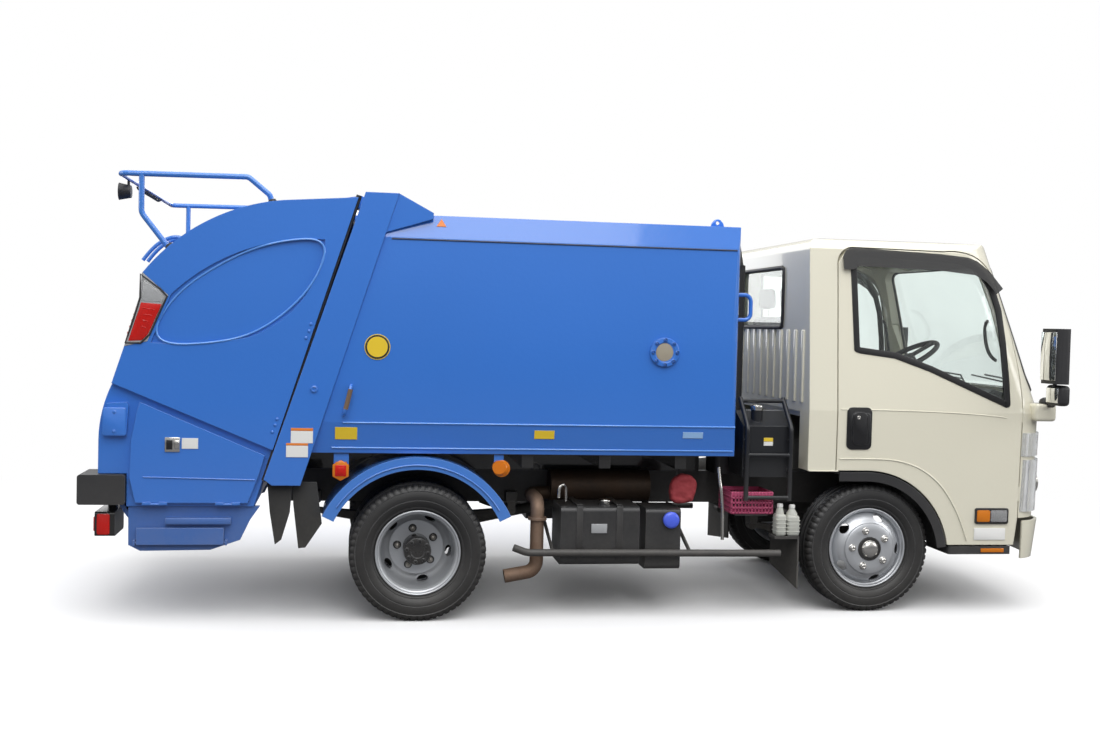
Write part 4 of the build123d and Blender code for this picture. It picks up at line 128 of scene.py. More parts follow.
SKY_LIGHT = 0.8
SKY_LOW_COLOUR = (0.26, 0.27, 0.29, 1)
SKY_WHITE_FROM = 0.45
world = bpy.data.worlds.new("sky")
bpy.context.scene.world = world
world.use_nodes = True
tree = world.node_tree
sky_light = tree.nodes["Background"]
sky_ramp = tree.nodes.new("ShaderNodeValToRGB")
sky_low, sky_high = sky_ramp.color_ramp.elements
sky_low.color = SKY_LOW_COLOUR
sky_high.color = (1, 1, 1, 1)
sky_high.position = SKY_WHITE_FROM
sky_split = shader_node(tree, "SeparateXYZ", {0: shader_node(tree, "TexCoord")["Generated"]})
ramp_colour = feed(tree, sky_ramp, {"Fac": sky_split["Z"]})["Color"]
feed(tree, sky_light, {"Strength": SKY_LIGHT, "Color": ramp_colour})
sky_seen = shader_node(tree, "Background", {"Color": (1, 1, 1, 1)})[0]
ray = shader_node(tree, "LightPath")
shown = maths(tree, "MAXIMUM", ray["Is Camera Ray"], ray["Is Transmission Ray"])
surface = shader_node(tree, "MixShader", {0: shown, 1: sky_light.outputs[0], 2: sky_seen})[0]
feed(tree, tree.nodes["World Output"], {"Surface": surface})

# Columns: name, place, aimed at, size, power
for lamp_name, lamp_place, lamp_aim, lamp_size, lamp_power in (
    ("overhead", (0.5, -1.5, 7.5), (0, 0, 1), 7.0, 330),
    ("near_side", (-1.0, -10.0, 9.0), (0, 0, 1), 8.0, 620),
    ("ahead", (8.0, -4.0, 4.0), (1.5, 0, 1), 4.0, 160),
    ("far_side", (-2.0, 8.0, 4.0), (0, 0, 1), 5.0, 160),
    ("rear", (-8.0, -1.0, 3.5), (-2, 0, 1), 4.0, 120),
):
    lamp_data = bpy.data.lights.new(lamp_name, "AREA")
    lamp_data.size = lamp_size
    lamp_data.energy = lamp_power
    lamp = bpy.data.objects.new(lamp_name, lamp_data)
    lamp.location = lamp_place
    lamp.rotation_euler = (Vector(lamp_aim) - Vector(lamp_place)).to_track_quat("-Z", "Y").to_euler()
    bpy.context.scene.collection.objects.link(lamp)


# Shared effect of age on a surface.
# Slow shifts of colour, road dust that fades upwards, a fine grain, softly rounded edges that shine, and
# light wear along them.
def surface_age_group():
    tree = bpy.data.node_groups.new("surface_age", "ShaderNodeTree")
    for name, kind, value in (
        ("Color", "Color", (0.5, 0.5, 0.5, 1)), ("Dust Color", "Color", (0.3, 0.28, 0.25, 1)),
        ("Dust", "Float", 0.3), ("Dust Top", "Float", 1.0), ("Shift", "Float", 0.05),
        ("Smooth", "Float", 0.3), ("Grain Scale", "Float", 300.0), ("Grain Depth", "Float", 0.0001),
        ("Edge", "Float", 0.004), ("Wear", "Float", 0.2),
    ):
        socket = tree.interface.new_socket(name=name, in_out="INPUT", socket_type="NodeSocket" + kind)
        socket.default_value = value
    for name, kind in (("Color", "Color"), ("Roughness", "Float"), ("Normal", "Vector")):
        tree.interface.new_socket(name=name, in_out="OUTPUT", socket_type="NodeSocket" + kind)
    given = tree.nodes.new("NodeGroupInput").outputs
    place = shader_node(tree, "TexCoord")["Object"]

    def noise(scale, detail):
        return shader_node(tree, "TexNoise", {"Detail": detail, "Vector": place, "Scale": scale})["Fac"]

    def times(first, second, clamp=False):
        return maths(tree, "MULTIPLY", first, second, clamp)

    cloud = noise(1.3, 4)
    patch = noise(7.0, 6)
    speck = noise(60.0, 3)
    shift = times(maths(tree, "SUBTRACT", cloud, 0.5), given["Shift"])
    brighter = maths(tree, "ADD", shift, 1.0)
    shifted = shader_node(tree, "HueSaturation", {"Color": given["Color"], "Value": brighter})["Color"]
    height = shader_node(tree, "SeparateXYZ", {0: place})["Z"]
    fade_range = {"Value": height, "From Max": given["Dust Top"], "To Min": 1.0, "To Max": 0.0}
    fade = shader_node(tree, "MapRange", fade_range)["Result"]
    patchy = times(maths(tree, "ADD", patch, times(speck, 0.5)), 1.1)
    dust = times(times(fade, patchy), given["Dust"], True)
    dusty = colour_mix(tree, dust, shifted, given["Dust Color"])
    rounded = shader_node(tree, "Bevel", {"Radius": given["Edge"]}, samples=4)["Normal"]
    flat = shader_node(tree, "NewGeometry")["Normal"]
    turned_by = shader_node(tree, "VectorMath", {0: rounded, 1: flat}, operation="DOT_PRODUCT")["Value"]
    edge = shader_node(tree, "MapRange", {"Value": turned_by, "From Min": 0.995, "From Max": 0.86})["Result"]
    worn = times(times(edge, patch), given["Wear"], True)
    rough = maths(tree, "ADD", given["Smooth"], times(maths(tree, "SUBTRACT", patch, 0.5), 0.08))
    grain = {"Height": noise(given["Grain Scale"], 2), "Distance": given["Grain Depth"], "Normal": rounded}
    feed(tree, tree.nodes.new("NodeGroupOutput"), {
        "Color": colour_mix(tree, worn, dusty, (0.75, 0.76, 0.78, 1)),
        "Roughness": maths(tree, "ADD", rough, times(dust, 0.5), True),
        "Normal": shader_node(tree, "Bump", grain)["Normal"],
    })
    return tree


SURFACE_AGE = surface_age_group()


def aged_finish(name, colour, smooth, metallic=0.0, coat=0.0, **effect):
    """A finish whose colour, roughness and normal come through the shared effect of age."""
    material = bpy.data.materials.new(name)
    material.use_nodes = True
    tree = material.node_tree
    given = {"Color": (*colour, 1), "Smooth": smooth}
    given.update((key.replace("_", " ").title(), value) for key, value in effect.items())
    age = shader_node(tree, "Group", node_tree=SURFACE_AGE)
    feed(tree, tree.nodes["Group"], given)
    feed(tree, tree.nodes["Principled BSDF"], {
        "Base Color": age["Color"], "Roughness": age["Roughness"], "Normal": age["Normal"],
        "Metallic": metallic, "Coat Weight": coat, "Coat Roughness": 0.04,
    })
    return material


def paint(material, *node_names):
    """Gives CAD pieces their finish."""
    for node_name in node_names:
        mesh = nodes[node_name].data
        mesh.materials.clear()
        mesh.materials.append(material)


# Chassis: welded steel under satin black paint.
# Rails, axle, springs and tanks are black and dusty. The engine is bare iron, and the exhaust is black with
# a tail pipe that has burnt to pale rust.
frame_finish = aged_finish("frame_black", (0.018, 0.018, 0.02), 0.42, dust=0.35, dust_top=1.1,
    grain_depth=0.0004)
axle_finish = aged_finish("axle_black", (0.022, 0.021, 0.02), 0.5, dust=0.5, dust_top=1.0, grain_depth=0.0006)
engine_finish = aged_finish("engine_iron", (0.11, 0.11, 0.105), 0.6, metallic=0.4, dust=0.5, dust_top=1.3)
tank_finish = aged_finish("tank_black", (0.014, 0.015, 0.018), 0.3, dust=0.22, dust_top=0.9,
    grain_depth=0.0002)
plastic_finish = aged_finish("moulding_black", (0.02, 0.02, 0.022), 0.48, dust=0.15, dust_top=0.9,
    grain_scale=700)
paint(frame_finish, "frame_rails", "side_guards")
paint(axle_finish, "front_axle", "rear_axle", "leaf_springs", "knuckle_left", "knuckle_right", "tie_rod")
paint(engine_finish, "engine_and_driveline")
paint(tank_finish, "side_tanks", "oil_tank")
paint(plastic_finish, "air_intake", "front_mudguards", "entry_steps", "mirrors", "work_lamp_and_camera")
flap_finish = aged_finish("flap_rubber", (0.018, 0.018, 0.018), 0.7, dust=0.4, dust_top=0.7, grain_scale=400)
paint(flap_finish, "front_mudflaps")


def two_tone(material, axis, low, high, low_colour):
    """Turns a finish to another colour on the low side of a level, over a short blend."""
    tree = material.node_tree
    group = tree.nodes["Group"]
    split = shader_node(tree, "SeparateXYZ", {0: shader_node(tree, "TexCoord")["Object"]})
    level = shader_node(tree, "MapRange", {"Value": split[axis], "From Min": low, "From Max": high})["Result"]
    feed(tree, group, {"Color": colour_mix(tree, level, (*low_colour, 1),
        group.inputs["Color"].default_value)})
    return material


exhaust_finish = aged_finish(
    "burnt_steel", (0.03, 0.028, 0.026), 0.45, metallic=0.6, shift=0.5, dust=0.7, dust_top=1.3,
    dust_color=(0.2, 0.11, 0.06, 1), grain_scale=120, grain_depth=0.0008,
)
two_tone(exhaust_finish, "Y", -0.6, -0.56, (0.3, 0.22, 0.17))
paint(exhaust_finish, "exhaust")

# Blue bodywork: pressed and welded sheet under gloss paint with a clear coat.
# The body, its rear ring and the tailgate share one mid blue, and the body is black below its sill. The
# tub's blue is darker and more worn, and the fenders' and the rack's is a little paler.
BODY_BLUE = (0.038, 0.18, 0.63)
blue_finish = aged_finish(
    "body_blue", BODY_BLUE, 0.17, coat=0.7, shift=0.1, dust=0.1, dust_top=1.1, grain_scale=45,
    grain_depth=0.0005, edge=0.006, wear=0.05,
)
worn_blue_finish = aged_finish(
    "worn_blue", (0.034, 0.135, 0.45), 0.33, coat=0.2, shift=0.15, dust=0.3, dust_top=1.0, grain_scale=90,
    grain_depth=0.0005, wear=0.5,
)
fender_finish = aged_finish(
    "fender_blue", (0.05, 0.2, 0.62), 0.2, coat=0.6, dust=0.15, dust_top=1.0, edge=0.005, wear=0.25,
)
body_finish = two_tone(blue_finish.copy(), "Z", 0.861, 0.864, (0.012, 0.012, 0.013))
body_finish.name = "body_blue_over_black"
paint(body_finish, "packer_body")
paint(blue_finish, "rear_ring", "tailgate_shell", "loading_lid", "side_cover_right", "side_cover_left",
    "body_fittings")
paint(worn_blue_finish, "hopper_tub", "packing_rotor", "push_plate", "side_step_right", "side_step_left")
paint(fender_finish, "rear_fenders", "roof_rack")

# Cream cab: pressed steel panels and doors with a moulded bumper in the same colour.
# Its glass is pale green, its trim grey and its steering wheel soft black rubber. The lamp plastics and the
# rubber made here serve the body and the tailgate too.
CAB_CREAM = (0.76, 0.73, 0.6)
cream_finish = aged_finish(
    "cab_cream", CAB_CREAM, 0.2, coat=0.6, shift=0.05, dust=0.12, dust_top=1.0, grain_scale=60,
    grain_depth=0.0003, edge=0.006, wear=0.0,
)
paint(cream_finish, "cab_shell", "door_right", "door_left", "front_bumper")


def glass_finish(name, colour, roughness=0.0, through=1.0):
    """A clear or milky finish whose tint is smeared a little."""
    material = bpy.data.materials.new(name)
    material.use_nodes = True
    tree = material.node_tree
    place = shader_node(tree, "TexCoord")["Object"]
    smear = shader_node(tree, "TexNoise", {"Scale": 5, "Vector": place})["Fac"]
    darker = [part * 0.94 for part in colour]
    feed(tree, tree.nodes["Principled BSDF"], {
        "Base Color": colour_mix(tree, smear, (*colour, 1), (*darker, 1)),
        "Roughness": roughness, "Transmission Weight": through, "IOR": 1.45,
    })
    return material


window_finish = glass_finish("window_glass", (0.92, 0.975, 0.955))
paint(window_finish, "cab_glass", "door_glass_right", "door_glass_left")
lamp_clear_finish = glass_finish("lamp_clear", (0.92, 0.93, 0.94), 0.08, 0.75)
paint(lamp_clear_finish, "cab_lamps")
orange_finish = glass_finish("lens_orange", (0.95, 0.28, 0.02), 0.12, 0.35)
paint(orange_finish, "body_lenses")
red_finish = glass_finish("lens_red", (0.8, 0.02, 0.015), 0.12, 0.35)
grey_plastic = aged_finish("bezel_grey", (0.36, 0.37, 0.38), 0.3, dust=0.05, dust_top=1.0)
paint(grey_plastic, "grille_panel")
interior_finish = aged_finish("cab_trim_grey", (0.11, 0.115, 0.12), 0.55, dust=0.0, grain_scale=500)
paint(interior_finish, "dashboard", "seats")
rubber_finish = aged_finish("soft_rubber", (0.022, 0.022, 0.024), 0.55, dust=0.2, dust_top=0.9,
    grain_scale=350)
paint(rubber_finish, "corner_buffers", "steering_wheel")

# Tyres: moulded black rubber with a ribbed tread and stepped sidewalls.
# A profile is spun round each axle, and every fourth column of its shoulders is drawn in as a sipe.
tyre_finish = aged_finish("tyre_rubber", (0.012, 0.012, 0.013), 0.44, dust=0.12, dust_top=0.8,
    grain_scale=600)
paint(tyre_finish, "front_tyre_right", "front_tyre_left", "rear_tyres_right", "rear_tyres_left")
AXLE_HEIGHT = 0.352
FRONT_X = 1.523
REAR_X = -0.952
FRONT_TYRE_Y = -0.71
TWIN_OUTER_Y = -0.822
TWIN_INNER_Y = -0.588
TREAD_RADIUS = 0.343
TREAD_COLUMNS = 240
SIPE_EVERY = 4
SIPE_DEPTH = 0.008
SHOULDER_RADIUS = 0.328
SHOULDER_SIDE = 0.07
AXIS_GAP = 0.0002
SMOOTH_ANGLE = radians(35)
FACING_SIDE = (pi / 2, 0, 0)
HALF_TYRE = (
    (0.0662, 0.206), (0.0722, 0.2193), (0.083, 0.226), (0.0885, 0.231), (0.0885, 0.237), (0.0935, 0.244),
    (0.0985, 0.256), (0.101, 0.268), (0.101, 0.2715), (0.099, 0.2735), (0.1016, 0.2755), (0.1025, 0.286),
    (0.1015, 0.298), (0.099, 0.31), (0.0965, 0.3185), (0.0985, 0.3215), (0.0955, 0.33), (0.09, 0.341),
    (0.0815, 0.3485), (0.075, 0.3515), (0.052, 0.352), (0.05, 0.343), (0.042, 0.343), (0.04, 0.352),
    (0.0125, 0.352), (0.0105, 0.343),
)


def pick(*pieces):
    clear_selection()
    for piece in pieces:
        piece.select_set(True)
    bpy.context.view_layer.objects.active = pieces[0]


def outward(piece):
    """Points all faces of a piece outwards."""
    pick(piece)
    bpy.ops.object.mode_set(mode="EDIT")
    bpy.ops.mesh.select_all(action="SELECT")
    bpy.ops.mesh.normals_make_consistent(inside=False)
    bpy.ops.object.mode_set(mode="OBJECT")


def settled(piece):
    """Puts a piece's place, turn and scale into its mesh."""
    pick(piece)
    bpy.ops.object.transform_apply(location=True, rotation=True, scale=True)
    return piece


def with_modifier(piece, kind, **settings):
    """Adds one modifier with its settings and applies it."""
    modifier = piece.modifiers.new("shape", kind)
    for key, value in settings.items():
        setattr(modifier, key, value)
    pick(piece)
    bpy.ops.object.modifier_apply(modifier=modifier.name)
    return piece


def turned(profile, place, steps=64, turn=FACING_SIDE):
    """A closed profile of (height, radius) rows, spun about an axis that by default points to the right."""
    clear_selection()
    bpy.ops.mesh.primitive_circle_add(vertices=len(profile), fill_type="NOTHING")
    piece = bpy.context.object
    for vertex, (height, radius) in zip(piece.data.vertices, profile):
        vertex.co = (max(radius, AXIS_GAP), 0, height)
    with_modifier(piece, "SCREW", steps=steps, render_steps=steps, use_merge_vertices=True,
        merge_threshold=0.00001)
    piece.rotation_euler = turn
    piece.location = place
    settled(piece)
    outward(piece)
    return piece


def joined(pieces):
    pick(*pieces)
    bpy.ops.object.join()
    return bpy.context.object


def finish(piece, name, material, body, slot, *stood_for):
    """Names a finished piece and gives it its material and its body. The slot is not used."""
    piece.name = name
    piece.data.materials.clear()
    piece.data.materials.append(material)
    pick(piece)
    bpy.ops.object.shade_smooth_by_angle(angle=SMOOTH_ANGLE)
    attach(piece, body)
    if stood_for:
        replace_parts(piece, *stood_for)
    return piece


def other_side(piece, name, body, slot, *stood_for):
    """The same piece mirrored to the truck's left."""
    pick(piece)
    bpy.ops.object.duplicate()
    copy = bpy.context.object
    if "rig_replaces" in copy:
        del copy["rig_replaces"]
    copy.scale = (1, -1, 1)
    settled(copy)
    outward(copy)
    return finish(copy, name, piece.data.materials[0], body, slot, *stood_for)


def both_sides(piece, name, material, body, slot, *stood_for):
    """Finishes a piece on the truck's right, then its mirrored copy on the left."""
    right = finish(piece, f"{name}_right", material, body, slot, *stood_for)
    left_body, *left_stood_for = [word.replace("right", "left") for word in (body, *stood_for)]
    other_side(right, f"{name}_left", left_body, slot, *left_stood_for)


def tyre_at(x, y):
    profile = [*HALF_TYRE, (0, TREAD_RADIUS), *[(-side, radius) for side, radius in reversed(HALF_TYRE)]]
    tyre = turned(profile, (x, y, AXLE_HEIGHT), TREAD_COLUMNS)
    for vertex in tyre.data.vertices:
        across = vertex.co.x - x
        up = vertex.co.z - AXLE_HEIGHT
        radius = (across * across + up * up) ** 0.5
        column = round(atan2(up, across) / (2 * pi) * TREAD_COLUMNS)
        if column % SIPE_EVERY == 0 and radius > SHOULDER_RADIUS and abs(vertex.co.y - y) > SHOULDER_SIDE:
            vertex.co.x = x + across * (radius - SIPE_DEPTH) / radius
            vertex.co.z = AXLE_HEIGHT + up * (radius - SIPE_DEPTH) / radius
    return tyre


both_sides(tyre_at(FRONT_X, FRONT_TYRE_Y), "tyre_front", tyre_finish, "right_front_wheel", "tyre",
    "front_tyre_right")
both_sides(joined([tyre_at(REAR_X, y) for y in (TWIN_OUTER_Y, TWIN_INNER_Y)]), "tyres_rear", tyre_finish,
    "right_rear_wheels", "tyre", "rear_tyres_right")


# Wheels: pressed steel rims in silver paint, with five oval holes and five nuts each.
# The front discs stand outwards round a black hub with a bright cap. The rear rims are deep dishes with a
# stepped lip and a flat black hub.
FRONT_WHEEL = (FRONT_X, FRONT_TYRE_Y, AXLE_HEIGHT)
NUT_CIRCLE = 0.101
rim_finish = aged_finish(
    "rim_silver", (0.56, 0.58, 0.61), 0.3, metallic=0.55, dust=0.25, dust_top=0.75, edge=0.003, wear=0.2,
)
paint(rim_finish, "front_rim_right", "front_rim_left", "rear_rims_right", "rear_rims_left")


def round_about(x, y, z, circle, first, count=5):
    """Places on a circle that faces the truck's side, by the angle from straight up."""
    made = []
    for index in range(count):
        angle = radians(first + index * 360 / count)
        made.append((angle, (x + circle * sin(angle), y, z + circle * cos(angle))))
    return made


def pierced(piece, places, long_half, short_half, depth):
    """Cuts oval holes along Y, each with its long side across its radius."""
    cutters = []
    for angle, place in places:
        clear_selection()
        bpy.ops.mesh.primitive_cylinder_add(vertices=28, radius=1, depth=depth)
        cutter = bpy.context.object
        cutter.scale = (long_half, short_half, 1)
        settled(cutter)
        cutter.matrix_world = (
            Matrix.Translation(place) @ Matrix.Rotation(angle, 4, "Y") @ Matrix.Rotation(pi / 2, 4, "X")
        )
        cutters.append(settled(cutter))
    cutter = joined(cutters)
    with_modifier(piece, "BOOLEAN", operation="DIFFERENCE", solver="EXACT", object=cutter)
    bpy.data.objects.remove(cutter)
    return piece


front_disc = turned((
    (0.0825, 0.219), (0.0838, 0.2145), (0.0812, 0.2098), (0.0705, 0.206), (0.066, 0.199), (0.048, 0.1968),
    (0.047, 0.195), (0.054, 0.1895), (0.07, 0.1815), (0.086, 0.168), (0.0965, 0.1535), (0.1, 0.145),
    (0.103, 0.1412), (0.1115, 0.1385), (0.1142, 0.1345), (0.115, 0.1), (0.115, 0.066), (0.108, 0.066),
    (0.108, 0.131), (0.098, 0.1365), (0.092, 0.148), (0.08, 0.164), (0.062, 0.177), (0.04, 0.187),
    (0.02, 0.196), (-0.0685, 0.197), (-0.0825, 0.211), (-0.0825, 0.219), (-0.0725, 0.219),
    (-0.0665, 0.206), (0.0665, 0.206), (0.0725, 0.219),
    ), FRONT_WHEEL, 96)
pierced(front_disc, round_about(FRONT_X, -0.78, AXLE_HEIGHT, 0.171, 20), 0.031, 0.0175, 0.12)
both_sides(front_disc, "rim_front", rim_finish, "right_front_wheel", "rim_silver", "front_rim_right")
chrome_finish = aged_finish("bright_steel", (0.72, 0.7, 0.66), 0.14, metallic=1.0, dust=0.12, dust_top=0.9)
black_finish = aged_finish("gloss_black", (0.01, 0.01, 0.011), 0.24, coat=0.3, dust=0.12, dust_top=0.9)


def nut_at(place, turn, reach=0.018, radius=0.016):
    """A hexagon nut on a round collar, its end dished."""
    clear_selection()
    bpy.ops.mesh.primitive_cylinder_add(vertices=6, radius=radius, depth=reach)
    nut = bpy.context.object
    bpy.ops.object.mode_set(mode="EDIT")
    bpy.ops.mesh.bevel(offset=0.0012, segments=2, affect="EDGES")
    bpy.ops.object.mode_set(mode="OBJECT")
    nut.matrix_world = (
        Matrix.Translation((place[0], place[1] - reach / 2, place[2]))
        @ Matrix.Rotation(turn, 4, "Y") @ Matrix.Rotation(pi / 2, 4, "X")
    )
    settled(nut)
    collar = turned((
        (-0.002, 0), (-0.002, radius + 0.004), (0.002, radius + 0.004), (0.004, radius + 0.001),
        (reach + 0.003, 0.0095), (reach + 0.003, 0.0075), (reach - 0.003, 0.0065), (reach - 0.003, 0),
        ), place, 24)
    return [nut, collar]


front_bright = []
for angle, place in round_about(FRONT_X, -0.825, AXLE_HEIGHT, NUT_CIRCLE, -15):
    front_bright += nut_at(place, angle)
front_bright.append(turned((
    (0.112, 0), (0.112, 0.0475), (0.1235, 0.0475), (0.125, 0.0455), (0.129, 0.0445), (0.135, 0.04),
    (0.14, 0.03), (0.1424, 0.017), (0.1428, 0),
    ), FRONT_WHEEL, 48))
both_sides(joined(front_bright), "nuts_front", chrome_finish, "right_front_wheel", "rim_silver")
both_sides(turned((
    (0.06, 0), (0.06, 0.065), (0.1135, 0.0655), (0.119, 0.064), (0.1205, 0.06), (0.1195, 0.05),
    (0.119, 0),
    ), FRONT_WHEEL, 48), "hub_front", black_finish, "right_front_wheel", "rim_silver")


def dish_at(y, way):
    """One rim of a twin pair. Its disc lies towards the other rim."""
    dish = turned([(way * height, radius) for height, radius in (
        (0.0825, 0.219), (0.0838, 0.2145), (0.0815, 0.21), (0.0705, 0.206), (0.0665, 0.199), (0.06, 0.1965),
        (0.056, 0.1925), (0.048, 0.1905), (0.04, 0.1915), (0.0, 0.19), (-0.04, 0.1895),
        (-0.066, 0.186), (-0.082, 0.176), (-0.0925, 0.162), (-0.0985, 0.1475), (-0.1035, 0.144),
        (-0.1055, 0.14), (-0.105, 0.136), (-0.1055, 0.1), (-0.1065, 0.07), (-0.1165, 0.07),
        (-0.1155, 0.1), (-0.114, 0.14), (-0.1085, 0.15), (-0.1015, 0.166), (-0.09, 0.181),
        (-0.07, 0.1935), (-0.0705, 0.199), (-0.0825, 0.211), (-0.0825, 0.219), (-0.0725, 0.219),
        (-0.0665, 0.206), (0.0665, 0.206), (0.0725, 0.219),
        )], (REAR_X, y, AXLE_HEIGHT), 96)
    holes = round_about(REAR_X, y + way * 0.085, AXLE_HEIGHT, 0.1675, 24)
    return pierced(dish, holes, 0.03, 0.0165, 0.055)


both_sides(joined([dish_at(TWIN_OUTER_Y, 1), dish_at(TWIN_INNER_Y, -1)]), "rims_rear", rim_finish,
    "right_rear_wheels", "rim_silver", "rear_rims_right")
stud_places = round_about(REAR_X, -0.7155, AXLE_HEIGHT, NUT_CIRCLE, -12)
rear_dark = [turned((
    (-0.29, 0), (-0.29, 0.07), (0.034, 0.071), (0.0385, 0.069), (0.04, 0.065), (0.04, 0.036),
    (0.037, 0.034), (0.037, 0),
    ), (REAR_X, TWIN_OUTER_Y, AXLE_HEIGHT), 48)]
for angle, place in round_about(REAR_X, -0.861, AXLE_HEIGHT, 0.055, 10, 8):
    rear_dark += nut_at(place, angle, 0.005, 0.0055)
for _, place in stud_places:
    profile = ((-0.002, 0), (-0.002, 0.0225), (0.004, 0.0215), (0.006, 0.0195), (0.006, 0))
    rear_dark.append(turned(profile, place, 28))
both_sides(joined(rear_dark), "hub_rear", black_finish, "right_rear_wheels", "rim_silver")
rear_nut_finish = aged_finish("dusty_nut", (0.3, 0.28, 0.25), 0.4, metallic=0.7, dust=0.3, dust_top=0.9)
nut_profile = ((0.0, 0), (0.0, 0.0145), (0.02, 0.014), (0.028, 0.011), (0.032, 0))
rear_nuts = [turned(nut_profile, place, 24) for _, place in stud_places]
both_sides(joined(rear_nuts), "nuts_rear", rear_nut_finish, "right_rear_wheels", "rim_silver")


# Body trim on the truck's sides: folds, stickers and blank labels.
# Thin beads run along the pressed folds, and each sticker lies on the sheet behind it. The fold beads are a
# paler blue than the body as a painted highlight, and the roof seam's bead is dark blue as a painted shadow.
def side_y(node_name, x, z):
    """The outer surface of a CAD piece on the truck's right at a place seen from the side."""
    hit, place, _, _ = nodes[node_name].ray_cast(Vector((x, -3, z)), Vector((0, 1, 0)))
    return place.y if hit else None


def draped(piece, node_name, proud=0.0012):
    """Lays a flat piece in the X and Z plane on the side of a CAD piece and gives it thickness."""
    height = [side_y(node_name, v.co.x, v.co.z) for v in piece.data.vertices]
    known = [y for y in height if y is not None]
    for vertex, y in zip(piece.data.vertices, height):
        vertex.co.y = (min(known) if y is None else y) - proud
    with_modifier(piece, "SOLIDIFY", thickness=proud + 0.001, offset=0)
    outward(piece)
    return piece


def sheet_of(x0, x1, z0, z1, cuts=6):
    clear_selection()
    bpy.ops.mesh.primitive_grid_add(x_subdivisions=cuts, y_subdivisions=cuts, size=1)
    piece = bpy.context.object
    for vertex in piece.data.vertices:
        vertex.co = (x0 + (vertex.co.x + 0.5) * (x1 - x0), 0, z0 + (vertex.co.y + 0.5) * (z1 - z0))
    return piece


def disc_of(x, z, radius):
    clear_selection()
    bpy.ops.mesh.primitive_circle_add(vertices=40, radius=radius, fill_type="NGON", rotation=FACING_SIDE,
        location=(x, 0, z))
    return settled(bpy.context.object)


def outline_of(points):
    """A flat piece in the X and Z plane from its outline."""
    clear_selection()
    bpy.ops.mesh.primitive_circle_add(vertices=len(points), fill_type="NGON")
    piece = bpy.context.object
    for vertex, (x, z) in zip(piece.data.vertices, points):
        vertex.co = (x, 0, z)
    return piece


def tube(points, radius, smooth=False, cyclic=False):
    """A round tube or bead along a few points."""
    clear_selection()
    if smooth:
        bpy.ops.curve.primitive_nurbs_path_add()
    else:
        bpy.ops.curve.primitive_bezier_curve_add()
    piece = bpy.context.object
    line = piece.data
    line.splines.clear()
    spline = line.splines.new("NURBS" if smooth else "POLY")
    spline.points.add(len(points) - 1)
    for point, place in zip(spline.points, points):
        point.co = (*place, 1)
    if smooth:
        spline.order_u = 3
        spline.use_endpoint_u = not cyclic
    spline.use_cyclic_u = cyclic
    line.dimensions = "3D"
    line.resolution_u = 8
    line.bevel_depth = radius
    line.bevel_resolution = 3
    line.use_fill_caps = True
    piece.location = (0, 0, 0)
    pick(piece)
    bpy.ops.object.convert(target="MESH")
    piece = bpy.context.object
    outward(piece)
    return piece


UPRIGHT = (0, 0, 0)


def block(place, size, round_edge=0.003, segments=2, turn=UPRIGHT):
    """A box with rounded edges."""
    clear_selection()
    bpy.ops.mesh.primitive_cube_add(size=1)
    piece = bpy.context.object
    piece.scale = size
    settled(piece)
    bpy.ops.object.mode_set(mode="EDIT")
    bpy.ops.mesh.bevel(offset=round_edge, segments=segments, affect="EDGES")
    bpy.ops.object.mode_set(mode="OBJECT")
    piece.rotation_euler = turn
    piece.location = place
    return settled(piece)


def pressed(points, near, far, round_edge=0.003, segments=2):
    """A plate with the given outline in X and Z between two distances to the right."""
    piece = outline_of(points)
    for vertex in piece.data.vertices:
        vertex.co.y = -near
    bpy.ops.object.mode_set(mode="EDIT")
    bpy.ops.mesh.select_all(action="SELECT")
    bpy.ops.mesh.extrude_region_move(TRANSFORM_OT_translate={"value": (0, near - far, 0)})
    bpy.ops.mesh.select_all(action="SELECT")
    bpy.ops.mesh.normals_make_consistent(inside=False)
    if round_edge:
        bpy.ops.mesh.bevel(offset=round_edge, segments=segments, affect="EDGES")
    bpy.ops.object.mode_set(mode="OBJECT")
    return piece


# The roof seam's bead is dark blue as a painted shadow under the roof band's overhang.
seam_shadow_finish = aged_finish("painted_shadow_blue", (0.01, 0.03, 0.09), 0.4, coat=0.2)
# The folds' beads are a paler blue than the body as a painted highlight along each fold.
fold_highlight_finish = aged_finish("fold_painted_highlight_blue", (0.085, 0.29, 0.78), 0.12, coat=0.9, dust=0.05, grain_depth=0.0)
BEAD = 0.0045
for name, look, x0, x1, z in (
    ("roof_seam", seam_shadow_finish, -1.118, 0.69, 1.953),
    ("lower_fold", fold_highlight_finish, -1.345, 0.705, 1.019),
    ("sill_fold", fold_highlight_finish, -1.4, 0.705, 0.889),
):
    along = [x0 + (x1 - x0) * k / 12 for k in range(13)]
    points = [(x, side_y("packer_body", min(x, 0.68), z) - 0.0008, z) for x in along]
    both_sides(tube(points, BEAD), name, look, "chassis", "body_blue")

